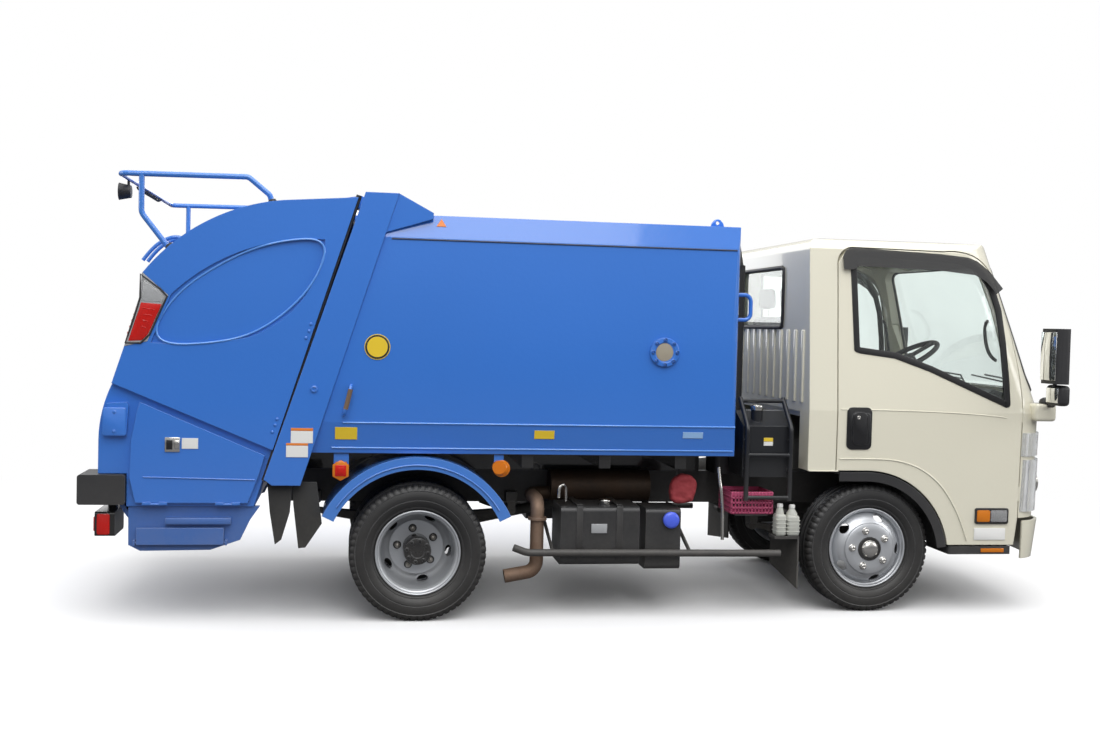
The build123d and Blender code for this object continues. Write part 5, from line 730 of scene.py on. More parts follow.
white_finish = aged_finish("label_white", (0.8, 0.8, 0.78), 0.35, dust=0.12, dust_top=1.2)
yellow_finish = aged_finish("label_yellow", (0.8, 0.56, 0.03), 0.35, dust=0.1, dust_top=1.2)
orange_label = aged_finish("label_orange", (0.78, 0.22, 0.03), 0.35)
pale_blue = aged_finish("label_pale_blue", (0.3, 0.5, 0.8), 0.35)
dark_ink = aged_finish("sticker_black", (0.02, 0.02, 0.02), 0.4)
LABELS = (
    ("label_ring_a", "rear_ring", white_finish, (-1.6, -1.491, 0.914, 0.975)),
    ("label_ring_a_top", "rear_ring", orange_label, (-1.6, -1.491, 0.976, 0.99)),
    ("label_ring_b", "rear_ring", white_finish, (-1.622, -1.514, 0.843, 0.901)),
    ("label_ring_b_top", "rear_ring", orange_label, (-1.622, -1.514, 0.902, 0.914)),
    ("label_sill_rear", "packer_body", yellow_finish, (-1.383, -1.272, 0.932, 0.995)),
    ("label_sill_mid", "packer_body", yellow_finish, (-0.366, -0.261, 0.945, 0.989)),
    ("label_sill_front", "packer_body", pale_blue, (0.425, 0.534, 0.957, 0.99)),
)
for name, node_name, label_finish, (x0, x1, z0, z1) in LABELS:
    label = draped(sheet_of(x0, x1, z0, z1), node_name)
    finish(label, name, label_finish, "chassis", "body_blue")
for name, look, radius, proud in (
    ("round_sticker", yellow_finish, 0.065, 0.0012),
    ("round_sticker_ring", dark_ink, 0.061, 0.0018),
    ("round_sticker_face", yellow_finish, 0.052, 0.0024),
):
    finish(draped(disc_of(-1.18, 1.404, radius), "packer_body", proud), name, look, "chassis", "body_blue")
triangle = draped(outline_of([(-0.895, 2.022), (-0.843, 2.022), (-0.869, 2.062)]), "packer_body")
finish(triangle, "roof_triangle", orange_label, "chassis", "body_blue")

# Inspection port: a bolted blue ring round a brown glass, the same on both sides.
# The ring is turned and held by eight nuts, and the glass is moulded in a shallow dome.
PORT_X = 0.31
PORT_Z = 1.408
port_y = side_y("packer_body", 0.25, PORT_Z)
port_place = (PORT_X, port_y - 0.004, PORT_Z)
port_ring = [turned((
    (0.0, 0.05), (0.0, 0.077), (0.006, 0.077), (0.009, 0.0745), (0.01, 0.054), (0.007, 0.05),
    ), port_place, 48)]
for angle, place in round_about(PORT_X, port_y - 0.013, PORT_Z, 0.0645, 0, 8):
    port_ring += nut_at(place, angle, 0.004, 0.0055)
both_sides(joined(port_ring), "port_ring", blue_finish, "chassis", "body_blue")
port_glass_finish = glass_finish("port_glass", (0.55, 0.5, 0.4), 0.15, 0.4)
port_profile = ((0.0, 0), (0.0, 0.0495), (0.007, 0.049), (0.009, 0.04), (0.0095, 0))
both_sides(turned(port_profile, port_place, 40), "port_glass", port_glass_finish, "chassis", "lens_orange")

# Side marker lamps: round amber domes, and a square red reflector in an amber hexagon frame.
# The domes are turned, the frame is pressed from its outline, and the reflector has a raised middle.
amber = turned((
    (0.0, 0), (0.0, 0.044), (0.01, 0.044), (0.012, 0.038), (0.018, 0.035), (0.026, 0.024),
    (0.03, 0.011), (0.031, 0),
    ), (-0.529, -0.874, 0.787), 40)
both_sides(amber, "amber_lamp", orange_finish, "chassis", "lens_orange")
reflector_frame = pressed([
    (-1.392, 0.745), (-1.351, 0.722), (-1.31, 0.745), (-1.31, 0.805), (-1.351, 0.828), (-1.392, 0.805),
    ], 0.9, 0.921, 0.004)
both_sides(reflector_frame, "reflector_frame", orange_finish, "chassis", "lens_orange")
reflector = joined([
    block((-1.351, -0.921, 0.775), (0.056, 0.01, 0.056), 0.003),
    block((-1.351, -0.926, 0.775), (0.034, 0.006, 0.034), 0.002),
])
both_sides(reflector, "reflector", red_finish, "chassis", "lens_orange")

# Rear fenders: a fold in the fender's own paint runs just inside the outer edge.
# It is a thin bead on the arch of the fender's side.
FENDER_X = -0.96
FENDER_Z = 0.316
FOLD_RADIUS = 0.492
fold_points = []
for degrees in range(32, 150, 6):
    angle = radians(degrees)
    fold_points.append((FENDER_X + FOLD_RADIUS * cos(angle), -0.9425, FENDER_Z + FOLD_RADIUS * sin(angle)))
both_sides(tube(fold_points, BEAD), "fender_fold", fender_finish, "chassis", "fender_blue")

# Tailgate details: folds in the side pressings, latches with a blank label, and the seal strips.
# The strips are black rubber, and each latch is a silver casting with a dark keyhole.
eye = [(-2.185, 1.642), (-1.901, 1.838), (-1.67, 1.925), (-1.421, 1.943), (-1.5, 1.701), (-1.711, 1.496),
    (-1.928, 1.407), (-2.3, 1.388)]
eye_line = [(x, (side_y("tailgate_shell", x, z) or -0.935) - 0.0005, z) for x, z in eye]
# The fold's bead is in the paler blue of the body's folds, a painted highlight along the crease.
both_sides(tube(eye_line, 0.0055, smooth=True, cyclic=True),
    "gate_fold", fold_highlight_finish, "tailgate", "gate_blue")
LATCH_Z = 0.9
latch = joined([
    block((-2.172, -0.9365, LATCH_Z), (0.073, 0.008, 0.073), 0.003),
    block((-2.15, -0.942, LATCH_Z), (0.02, 0.01, 0.04), 0.003),
])
both_sides(latch, "latch", chrome_finish, "right_cover", "cover_blue")
both_sides(block((-2.186, -0.9405, LATCH_Z), (0.03, 0.006, 0.048), 0.002),
    "latch_hole", black_finish, "right_cover", "cover_blue")
latch_label = draped(sheet_of(-2.127, -2.049, 0.88, 0.933), "side_cover_right")
finish(latch_label, "label_latch", white_finish, "right_cover", "cover_blue")
cover_fold = tube([(-2.31, -0.9345, 0.739), (-1.771, -0.9345, 0.727)], 0.004)
both_sides(cover_fold, "cover_fold", blue_finish, "right_cover", "cover_blue")

seal_finish = aged_finish("seal_rubber", (0.012, 0.012, 0.013), 0.5, dust=0.1, dust_top=1.2)
HINGE_PLACE = (-1.282, 2.15)
SEAM_SLOPE = tan(radians(17.4))
seal_line = [(HINGE_PLACE[0] - (HINGE_PLACE[1] - z) * SEAM_SLOPE, -0.921, z) for z in (2.135, 1.6, 1.1, 0.72)]
both_sides(tube(seal_line, 0.0062), "seal", seal_finish, "tailgate", "gate_blue")
seal_inner = [(x - 0.004, y + 0.028, z) for x, y, z in seal_line]
seal_inner[0] = (seal_inner[0][0] + 0.006, seal_inner[0][1], 2.165)
both_sides(tube(seal_inner, 0.015), "seal_inner", seal_finish, "tailgate", "gate_blue")

# Cab doors: black window gaskets, smoked visors, recessed handles, locks, and the folds over the wheel and
# along the belt. Each gasket is cut from the window's outline, inset, and given a rounded depth on the
# leaning side.
WINDOW = (
    (1.633, 1.4), (1.43, 1.424), (1.408, 1.432), (1.398, 1.442), (1.379, 1.9), (1.38, 1.94),
    (1.396, 1.97), (1.428, 1.984), (1.931, 1.972), (2.04, 1.957), (2.113, 1.93), (2.16, 1.89),
    (2.223, 1.8), (2.262, 1.68), (2.288, 1.5), (2.302, 1.33), (2.313, 1.16), (2.308, 1.146),
    (2.288, 1.14), (1.838, 1.331),
)
CAB_HALF_WIDTH = 0.847
CAB_LEANS_FROM = 1.11
CAB_LEAN = 0.0818


def cab_side(z):
    """How far out the cab's side stands at a height."""
    return CAB_HALF_WIDTH - max(0.0, z - CAB_LEANS_FROM) * CAB_LEAN


def framed(points, width, depth, proud):
    """A band round an outline on the cab's side."""
    piece = outline_of(points)
    bpy.ops.object.mode_set(mode="EDIT")
    bpy.ops.mesh.select_all(action="SELECT")
    bpy.ops.mesh.inset(thickness=width, depth=0)
    bpy.ops.mesh.delete(type="FACE")
    bpy.ops.object.mode_set(mode="OBJECT")
    for vertex in piece.data.vertices:
        vertex.co.y = -cab_side(vertex.co.z) - proud + depth / 2
    with_modifier(piece, "SOLIDIFY", thickness=depth, offset=0)
    outward(piece)
    with_modifier(piece, "BEVEL", width=0.002, segments=2, limit_method="ANGLE")
    return piece


both_sides(framed(WINDOW, 0.034, 0.014, 0.004), "window_gasket", seal_finish, "right_door", "moulding_black")
smoke_finish = glass_finish("smoked_acrylic", (0.1, 0.1, 0.1), 0.05, 0.55)
visor = outline_of([
    (1.331, 1.88), (1.329, 1.95), (1.345, 1.985), (1.378, 2.002), (1.899, 1.982), (2.06, 1.968),
    (2.111, 1.949), (2.18, 1.895), (2.254, 1.8), (2.215, 1.77), (2.16, 1.835), (2.095, 1.872),
    (1.9, 1.89), (1.42, 1.9), (1.385, 1.88),
])
for vertex in visor.data.vertices:
    vertex.co.y = -cab_side(vertex.co.z) - 0.012 - max(0.0, 1.98 - vertex.co.z) * 0.12
with_modifier(visor, "SOLIDIFY", thickness=0.003, offset=0)
outward(visor)
both_sides(visor, "visor", smoke_finish, "right_door", "cab_glass")


def rounded_rectangle(x0, x1, z0, z1, corner, steps=5):
    """The outline of a rectangle with round corners, as X and Z rows."""
    points = []
    for x, z, first in ((x1 - corner, z1 - corner, 0), (x0 + corner, z1 - corner, 90),
            (x0 + corner, z0 + corner, 180), (x1 - corner, z0 + corner, 270)):
        for step in range(steps + 1):
            angle = radians(first + 90 * step / steps)
            points.append((x + corner * cos(angle), z + corner * sin(angle)))
    return points


handle_plate = pressed(rounded_rectangle(1.359, 1.503, 0.9, 1.131, 0.03), 0.845, 0.8515, 0.002)
handle_grip = pressed(rounded_rectangle(1.388, 1.474, 0.925, 1.106, 0.03), 0.85, 0.864, 0.004)
handle_well = pressed(rounded_rectangle(1.448, 1.492, 0.93, 1.1, 0.018), 0.85, 0.853, 0.001)
both_sides(joined([handle_plate, handle_grip, handle_well]),
    "door_handle", black_finish, "right_door", "moulding_black")
both_sides(turned(((0, 0), (0, 0.011), (0.004, 0.0105), (0.005, 0.004), (0.002, 0.003), (0.002, 0)),
    (1.42, -0.863, 1.075), 24),
    "door_lock", chrome_finish, "right_door", "moulding_black")
flare = [(1.325, 0.848), (1.5, 0.85), (1.644, 0.845), (1.76, 0.815), (1.845, 0.769), (1.925, 0.7),
    (1.992, 0.604), (2.045, 0.5), (2.08, 0.4)]
both_sides(tube([(x, -0.8455, z) for x, z in flare], BEAD, smooth=True),
    "flare_fold", cream_finish, "right_door", "cab_cream")
both_sides(tube([(1.325, -0.8465, 1.118), (2.02, -0.8465, 1.118), (2.29, -0.8465, 1.085)], 0.0035,
    smooth=True),
    "belt_fold", cream_finish, "right_door", "cab_cream")

# Lamps and small parts round the cab's front corner.
# The side lamp is amber and clear in a black bezel, with a blank white plate under it. The step has an
# orange reflector and a ribbed tread.
for name, corners, corner, near, far, look in (
    ("side_lamp_bezel", (2.123, 2.322, 0.493, 0.582), 0.012, 0.84, 0.8535, black_finish),
    ("side_lamp_amber", (2.133, 2.21, 0.505, 0.57), 0.008, 0.85, 0.857, orange_finish),
    ("side_lamp_clear", (2.214, 2.312, 0.505, 0.57), 0.008, 0.85, 0.857, lamp_clear_finish),
):
    both_sides(pressed(rounded_rectangle(*corners, corner), near, far), name, look, "right_door", "cab_cream")
door_plate = pressed(rounded_rectangle(2.122, 2.308, 0.403, 0.47, 0.005), 0.844, 0.8475, 0.001)
finish(door_plate, "blank_plate", white_finish, "right_door", "cab_cream")
step_red = block((2.236, -0.8435, 0.345), (0.137, 0.006, 0.022), 0.002)
both_sides(step_red, "step_reflector", orange_finish, "cab", "lens_orange")
tread = joined([block((1.995 + 0.0415 * k, -0.7, 0.3675), (0.01, 0.25, 0.006), 0.002) for k in range(9)])
both_sides(tread, "step_tread", plastic_finish, "cab", "moulding_black")

# Fuel and urea tanks: steel straps, round caps, a blank plate, a hooked pipe and a bright one.
# The straps are bands with softened edges, and the urea tank has its bright blue cap.
strap_finish = aged_finish("strap_steel", (0.05, 0.05, 0.052), 0.35, metallic=0.6, dust=0.25, dust_top=0.9)
tank_top = 0.59
straps = []
for x in (-0.105, 0.11):
    for place, size in (((x, -0.7, tank_top + 0.003), (0.034, 0.306, 0.005)),
            ((x, -0.8575, 0.445), (0.034, 0.005, 0.285))):
        straps.append(block(place, size, 0.0015))
straps = finish(joined(straps), "tank_straps", strap_finish, "chassis", "tank_black")
tank_cap = turned((
    (0.0, 0), (0.0, 0.03), (0.008, 0.0345), (0.026, 0.035), (0.03, 0.032), (0.031, 0),
    ), (0.043, -0.78, 0.585), 40, UPRIGHT)
finish(tank_cap, "fuel_cap", chrome_finish, "chassis", "tank_black")
cap_blue = aged_finish("cap_blue", (0.07, 0.13, 0.8), 0.35, coat=0.3, dust=0.05)
urea_cap = turned((
    (0.0, 0), (0.0, 0.033), (0.006, 0.043), (0.024, 0.044), (0.03, 0.04), (0.034, 0.03),
    (0.035, 0),
    ), (0.388, -0.846, 0.516), 30)
finish(urea_cap, "urea_cap", cap_blue, "chassis", "tank_black")
tank_plate = block((0.0, -0.8585, 0.47), (0.085, 0.004, 0.05), 0.002)
finish(tank_plate, "tank_blank_plate", grey_plastic, "chassis", "tank_black")
hooked = tube([(-0.22, -0.855, 0.632), (-0.22, -0.855, 0.68), (-0.21, -0.85, 0.698), (-0.19, -0.84, 0.7),
    (-0.175, -0.82, 0.68), (-0.172, -0.8, 0.61)], 0.008, smooth=True)
finish(hooked, "hooked_pipe", chrome_finish, "chassis", "tank_black")
polished = tube([(0.666, -0.78, 0.79), (0.67, -0.79, 0.72), (0.681, -0.8, 0.656), (0.69, -0.805, 0.5),
    (0.69, -0.805, 0.4)], 0.009, smooth=True)
finish(polished, "bright_pipe", chrome_finish, "chassis", "frame_black")

# Crate, bottles and the red bag that the crew carries on the frame.
# The crate is moulded in open lattice with a rolled rim. The bottles are thin white plastic with screw caps,
# and the bag is a soft red cover tied round the extinguisher.
crate_finish = aged_finish("crate_pink", (0.42, 0.03, 0.12), 0.4, dust=0.2, dust_top=1.0)
paint(crate_finish, "carry_basket")
CRATE_X = 0.848
CRATE_Y = -0.7
crate_bars = []
for z in (0.548, 0.575, 0.602, 0.629):
    crate_bars += [block((CRATE_X, y, z), (0.236, 0.006, 0.01), 0.0015) for y in (-0.816, -0.584)]
    crate_bars += [block((x, CRATE_Y, z), (0.006, 0.236, 0.01), 0.0015) for x in (0.732, 0.964)]
for k in range(13):
    x = 0.735 + k * 0.0188
    crate_bars += [block((x, y, 0.6), (0.007, 0.005, 0.115), 0.001) for y in (-0.8165, -0.5835)]
for k in range(13):
    y = -0.812 + k * 0.0187
    crate_bars += [block((x, y, 0.6), (0.005, 0.007, 0.115), 0.001) for x in (0.7315, 0.9645)]
crate_bars.append(block((CRATE_X, CRATE_Y, 0.5435), (0.232, 0.232, 0.005), 0.0015))
rim_corners = ((0.7335, -0.8145), (0.9625, -0.8145), (0.9625, -0.5855), (0.7335, -0.5855))
crate_bars.append(tube([(x, y, 0.657) for x, y in rim_corners], 0.0055, cyclic=True))
crate_bars += [block((CRATE_X, y, 0.646), (0.23, 0.005, 0.014), 0.0015) for y in (-0.815, -0.585)]
crate_bars += [block((x, CRATE_Y, 0.646), (0.005, 0.23, 0.014), 0.0015) for x in (0.733, 0.963)]
finish(joined(crate_bars), "crate", crate_finish, "chassis", "basket_pink", "carry_basket")

bottle_finish = glass_finish("bottle_plastic", (0.82, 0.83, 0.76), 0.3, 0.45)
paint(bottle_finish, "water_bottles")
BOTTLE_Y = -0.82
bottle_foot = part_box("water_bottles")[0].z
caps = []
made = []
for x, width, top in ((1.004, 0.056, 0.6), (1.072, 0.07, 0.594)):
    shoulder = top - 0.055
    middle = (x, BOTTLE_Y, (bottle_foot + shoulder) / 2)
    made.append(block(middle, (width, 0.078, shoulder - bottle_foot), 0.014, 3))
    for share in (0.22, 0.4, 0.58, 0.76):
        ring_z = bottle_foot + (shoulder - bottle_foot) * share
        made.append(block((x, BOTTLE_Y, ring_z), (width + 0.0025, 0.0805, 0.006), 0.0025))
    made.append(turned((
        (-0.012, 0), (-0.012, width / 2 - 0.004), (0.01, width / 2 - 0.006), (0.03, 0.016), (0.038, 0.0135),
        (0.048, 0.0135), (0.048, 0),
        ), (x, BOTTLE_Y, shoulder), 28, UPRIGHT))
    caps.append(turned((
        (0.036, 0), (0.036, 0.0162), (0.04, 0.0168), (0.053, 0.016), (0.055, 0.014), (0.055, 0),
        ), (x, BOTTLE_Y, shoulder), 28, UPRIGHT))
finish(joined(made), "bottles", bottle_finish, "chassis", "bottle_white", "water_bottles")
finish(joined(caps), "bottle_caps", white_finish, "chassis", "bottle_white")

bag_finish = aged_finish("bag_red", (0.3, 0.02, 0.03), 0.75, dust=0.2, dust_top=1.0, grain_scale=900)
paint(bag_finish, "extinguisher_bag")
bag_outline = [(0.412, 0.598), (0.47, 0.59), (0.527, 0.6), (0.545, 0.655), (0.552, 0.712), (0.515, 0.745),
    (0.478, 0.752), (0.435, 0.742), (0.408, 0.7), (0.402, 0.65)]
bag = pressed(bag_outline, 0.714, 0.786, 0.02, 4)
with_modifier(bag, "REMESH", mode="VOXEL", voxel_size=0.004)
folds = bpy.data.textures.new("folds", "CLOUDS")
folds.noise_scale = 0.035
with_modifier(bag, "DISPLACE", texture=folds, strength=0.014, mid_level=0.5)
with_modifier(bag, "SMOOTH", factor=0.5, iterations=3)
finish(bag, "red_bag", bag_finish, "chassis", "bag_red", "extinguisher_bag")
tie = tube([(0.44, -0.75, 0.735), (0.44, -0.75, 0.79)], 0.005)
finish(tie, "bag_tie", seal_finish, "chassis", "bag_red")

# Rubber splash pieces hang below the rear posts, and each is cut from worn sheet.
# The rear one is narrow and long, and the front one flares forward to the fender.
for name, outline, depth in (
    ("splash_rear", [
        (-1.715, 0.712), (-1.7, 0.56), (-1.672, 0.395), (-1.64, 0.42), (-1.6, 0.56), (-1.59, 0.712),
        ], 0.885),
    ("splash_front", [
        (-1.59, 0.712), (-1.585, 0.6), (-1.556, 0.374), (-1.52, 0.378), (-1.44, 0.5), (-1.47, 0.712),
        ], 0.875),
):
    both_sides(pressed(outline, depth, depth + 0.006, 0.0015), name, flap_finish, "chassis", "flap_rubber")

# Tail lamps: one tall unit each side, clear above and red below, in a grey bezel with a black edge.
# Each lens is a moulded piece with a rounded rim, and the housings are black below a level. A small red
# lamp sits in each low box, and a bolted cover is on each corner.
LENS_SIDES = (0.936, 0.9395)
clear_lens = pressed([
    (-2.322, 1.714), (-2.302, 1.7), (-2.27, 1.676), (-2.232, 1.645), (-2.222, 1.628), (-2.23, 1.6),
    (-2.328, 1.606), (-2.326, 1.65),
    ], *LENS_SIDES)
both_sides(clear_lens, "tail_clear", lamp_clear_finish, "tailgate", "lamp_clear")
red_lens = pressed([
    (-2.33, 1.597), (-2.232, 1.591), (-2.246, 1.556), (-2.262, 1.52), (-2.278, 1.48), (-2.296, 1.44),
    (-2.324, 1.412), (-2.388, 1.408), (-2.378, 1.44), (-2.366, 1.48), (-2.354, 1.52), (-2.34, 1.56),
    ], *LENS_SIDES)
both_sides(red_lens, "tail_red", red_finish, "tailgate", "lamp_red")
strips = [
    tube([(-2.32 - 0.0014 * k, -0.9392, 1.6 - 0.03 * k), (-2.256 - 0.012 * k, -0.9392, 1.594 - 0.03 * k)],
        0.002)
    for k in range(1, 5)
]
both_sides(joined(strips), "tail_ribs", red_finish, "tailgate", "lamp_red")
lamp_edge = tube([
    (-2.335, -0.9375, 1.735), (-2.335, -0.9375, 1.62), (-2.352, -0.9375, 1.56), (-2.376, -0.9375, 1.48),
    (-2.402, -0.9375, 1.398), (-2.33, -0.9375, 1.398), (-2.288, -0.9375, 1.44), (-2.238, -0.9375, 1.56),
    (-2.208, -0.9375, 1.63), (-2.24, -0.9375, 1.666),
    ], 0.005, cyclic=True)
both_sides(lamp_edge, "tail_edge", seal_finish, "tailgate", "lamp_red")
rear_red = pressed(rounded_rectangle(-2.531, -2.47, 0.448, 0.552, 0.01), 0.898, 0.9045, 0.003)
both_sides(rear_red, "low_lamp", red_finish, "tailgate", "lamp_red")
box_cover = pressed(rounded_rectangle(-2.505, -2.393, 0.94, 1.08, 0.012), 0.93, 0.9385, 0.003)
box_bolts = [box_cover]
for z in (0.962, 1.058):
    box_bolts.append(turned(((0, 0), (0, 0.008), (0.003, 0.007), (0.004, 0)), (-2.449, -0.938, z), 20))
both_sides(joined(box_bolts), "corner_box", blue_finish, "tailgate", "gate_blue")
lamp_body_finish = two_tone(grey_plastic.copy(), "Z", 0.8, 0.82, (0.015, 0.015, 0.016))
lamp_body_finish.name = "lamp_housing"
paint(lamp_body_finish, "tail_lamps")

# Seats: foam cushions under a woven grey cover.
# Each pad starts as a soft-cornered block and is blown up a little as cloth. The middle seat is a copy of
# the driver's. Bright stays carry the headrests, and a grab handle stands by each door.
seat_finish = aged_finish("seat_weave", (0.055, 0.058, 0.065), 0.85, dust=0.0, shift=0.15, grain_scale=650,
    grain_depth=0.0012)


def pad(place, size, turn, corner, swell):
    piece = block(place, size, corner, 4, turn)
    with_modifier(piece, "REMESH", mode="VOXEL", voxel_size=0.01)
    rest = [vertex.co.copy() for vertex in piece.data.vertices]
    cloth = piece.modifiers.new("filling", "CLOTH")
    cloth.settings.quality = 4
    cloth.settings.use_pressure = True
    cloth.settings.uniform_pressure_force = 4
    cloth.settings.effector_weights.gravity = 0
    scene = bpy.context.scene
    for step in range(1, 21):
        scene.frame_set(step)
    swollen = piece.evaluated_get(bpy.context.evaluated_depsgraph_get()).data
    moved = [vertex.co.copy() for vertex in swollen.vertices]
    piece.modifiers.remove(cloth)
    for vertex, old, new in zip(piece.data.vertices, rest, moved):
        step_out = new - old
        if step_out.length > swell:
            step_out = step_out.normalized() * swell
        vertex.co = old + step_out
    scene.frame_set(1)
    return with_modifier(piece, "SUBSURF", levels=1, render_levels=1)


def seat_at(middle, width):
    return joined([
        pad((1.665, middle, 1.152), (0.41, width - 0.03, 0.085), (0, radians(-3), 0), 0.03, 0.012),
        pad((1.402, middle, 1.425), (0.09, width - 0.04, 0.43), (0, radians(-12), 0), 0.03, 0.012),
        pad((1.368, middle, 1.742), (0.055, 0.23, 0.13), (0, radians(-4), 0), 0.022, 0.008),
    ])


DRIVER_SEAT_Y = -0.43
MIDDLE_SEAT_Y = 0.14
SIDE_SEAT_Y = 0.56
seat = seat_at(DRIVER_SEAT_Y, 0.48)
pick(seat)
bpy.ops.object.duplicate()
middle_seat = bpy.context.object
middle_seat.location.y = MIDDLE_SEAT_Y - DRIVER_SEAT_Y
settled(middle_seat)
side_seat = seat_at(SIDE_SEAT_Y, 0.34)
for name, piece in (("seat_driver", seat), ("seat_middle", middle_seat), ("seat_side", side_seat)):
    finish(piece, name, seat_finish, "cab", "seat_fabric")
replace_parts(seat, "seats")
stays = []
for middle in (DRIVER_SEAT_Y, MIDDLE_SEAT_Y, SIDE_SEAT_Y):
    stays += [tube([(1.364, middle + d, 1.62), (1.364, middle + d, 1.7)], 0.006) for d in (-0.055, 0.055)]
finish(joined(stays), "headrest_stays", chrome_finish, "cab", "seat_fabric")
handle_line = ((2.235, 0.705, 1.62), (2.232, 0.66, 1.6), (2.262, 0.665, 1.42), (2.285, 0.72, 1.4))
inner_handles = [tube([(x, side * y, z) for x, y, z in handle_line], 0.01, True) for side in (-1, 1)]
finish(joined(inner_handles), "inner_handles", plastic_finish, "cab", "dash_grey")

# Cab back wall: upright ribs and a black rubber gasket round its window.
# The ribs are pressed into the cream sheet, and the gasket is one closed bead.
BACK_X = 1.1445
ribs = [block((BACK_X - 0.002, -0.72 + 0.12 * k, 1.345), (0.012, 0.034, 0.4), 0.005, 3) for k in range(13)]
finish(joined(ribs), "back_wall_ribs", cream_finish, "cab", "cab_cream")
rear_gasket = tube([
    (BACK_X - 0.001, y, z) for y, z in (
        (-0.345, 1.5575), (0.345, 1.5575), (0.375, 1.568), (0.38, 1.6), (0.38, 1.86), (0.375, 1.892),
        (0.345, 1.9025), (-0.345, 1.9025), (-0.375, 1.892), (-0.38, 1.86), (-0.38, 1.6), (-0.375, 1.568),
    )
    ], 0.013, cyclic=True)
finish(rear_gasket, "rear_window_gasket", seal_finish, "cab", "cab_glass")

# Rack fittings on the tailgate: bent grab hoops, rubber feet and a cable wound round a tube.
# The hoops and the cable are bent to shape, and the feet are turned rubber.
hoop_line = ((-2.375, 1.816), (-2.33, 1.88), (-2.27, 1.925), (-2.214, 1.945), (-2.16, 1.93), (-2.14, 1.9))
hoops = [tube([(x, y, z) for x, z in hoop_line], 0.01, smooth=True) for y in (-0.62, -0.47)]
hoops.append(tube([(-2.27, -0.62, 1.925), (-2.27, -0.47, 1.925)], 0.008))
finish(joined(hoops), "lid_hoops", fender_finish, "tailgate", "rack_blue")
foot_profile = ((-0.014, 0), (-0.014, 0.026), (0.004, 0.024), (0.02, 0.017), (0.02, 0))
feet = [turned(foot_profile, place, 28, (0, radians(lean), 0)) for place, lean in (
    ((-2.203, -0.88, 1.872), -40), ((-1.712, -0.88, 2.11), -12),
)]
both_sides(joined(feet), "rack_feet", seal_finish, "tailgate", "rack_blue")
cable_coil = []
for step in range(61):
    angle = step * 2 * pi / 6
    cable_coil.append((-2.452 + 0.017 * cos(angle), -0.3 + 0.0115 * step, 2.223 + 0.017 * sin(angle)))
finish(tube(cable_coil, 0.0045, smooth=True), "lamp_cable", seal_finish, "tailgate", "moulding_black")

# Step ledges under the side covers, lifting eyes, post bolts, a plug in the rear ring, the pull handle's
# grip, the oil tank's cap and labels, and a fold on the cab's rear corners.
# Ledges, eyes, bolts and plug are steel in body paint. The grip is moulded plastic.
ledge = block((-2.045, -0.905, 0.518), (0.317, 0.04, 0.033), 0.004)
both_sides(ledge, "gate_ledge", worn_blue_finish, "tailgate", "gate_blue")
eye_plate = pressed([(0.6, 2.085), (0.68, 2.085), (0.672, 2.112), (0.655, 2.13), (0.64, 2.134), (0.625, 2.13),
    (0.608, 2.112)], 0.7, 0.712, 0.002)
pierced(eye_plate, [(0, (0.64, -0.706, 2.112))], 0.01, 0.01, 0.04)
both_sides(eye_plate, "lifting_eye", blue_finish, "chassis", "body_blue")
bolts = []
for x, z in ((-1.511, 1.511), (-1.52, 1.476), (-1.534, 1.441), (-1.669, 1.033), (-1.678, 1.003),
        (-1.692, 0.968)):
    surface = side_y("rear_ring", x, z) or side_y("tailgate_shell", x, z) or -0.935
    bolts.append(turned(((-0.001, 0), (-0.001, 0.0085), (0.003, 0.008), (0.005, 0.0045), (0.005, 0)),
        (x, surface, z), 16))
both_sides(joined(bolts), "post_bolts", blue_finish, "chassis", "body_blue")
plug = turned(((-0.002, 0), (-0.002, 0.019), (0.006, 0.018), (0.008, 0.01), (0.005, 0.009), (0.005, 0)),
    (-1.49, side_y("rear_ring", -1.49, 1.186), 1.186), 28)
finish(plug, "ring_plug_right", blue_finish, "chassis", "body_blue")
grip_finish = aged_finish("grip_brown", (0.16, 0.1, 0.06), 0.5, dust=0.2, dust_top=1.3)
grip = tube([(-1.309, -0.964, 1.19), (-1.332, -0.964, 1.09)], 0.0125)
finish(grip, "pull_grip", grip_finish, "chassis", "body_blue")
oil_cap = turned((
    (-0.012, 0), (-0.012, 0.0345), (0.006, 0.037), (0.014, 0.035), (0.019, 0.024), (0.021, 0),
    ), (0.886, -0.735, 1.112), 32, UPRIGHT)
finish(oil_cap, "oil_cap", chrome_finish, "chassis", "tank_black")
for name, label_finish, rows in (("label_tank", white_finish, (0.906, 0.958, 0.912, 0.934)),
        ("label_tank_top", yellow_finish, (0.906, 0.958, 0.935, 0.955))):
    finish(draped(sheet_of(*rows), "oil_tank"), name, label_finish, "chassis", "tank_black")
corner_fold = tube([(1.152, -0.8475, 0.782), (1.318, -0.8475, 0.782)], 0.004)
both_sides(corner_fold, "cab_corner_fold", cream_finish, "cab", "cab_cream")

# Mirrors and their brackets: a cream block on each of the cab's corners, silvered glass in the housings, a
# small black mirror below them with its own glass, and a round mirror over the right block.
silvered = aged_finish("mirror_glass", (0.85, 0.86, 0.87), 0.03, metallic=1.0, dust=0.0, grain_depth=0.0)
for name, place, size, round_edge, segments, look, slot in (
    ("mirror_bracket", (2.515, -0.8, 1.118), (0.125, 0.15, 0.098), 0.02, 4, cream_finish, "cab_cream"),
    ("mirror_face", (2.4375, -1.0, 1.435), (0.004, 0.15, 0.262), 0.0015, 2, silvered, "mirror_black"),
    ("mirror_low", (2.505, -0.995, 1.222), (0.066, 0.15, 0.112), 0.022, 4, plastic_finish, "mirror_black"),
    ("mirror_low_face", (2.4705, -0.995, 1.222), (0.004, 0.116, 0.08), 0.0015, 2, silvered, "mirror_black"),
):
    both_sides(block(place, size, round_edge, segments), name, look, "cab", slot)
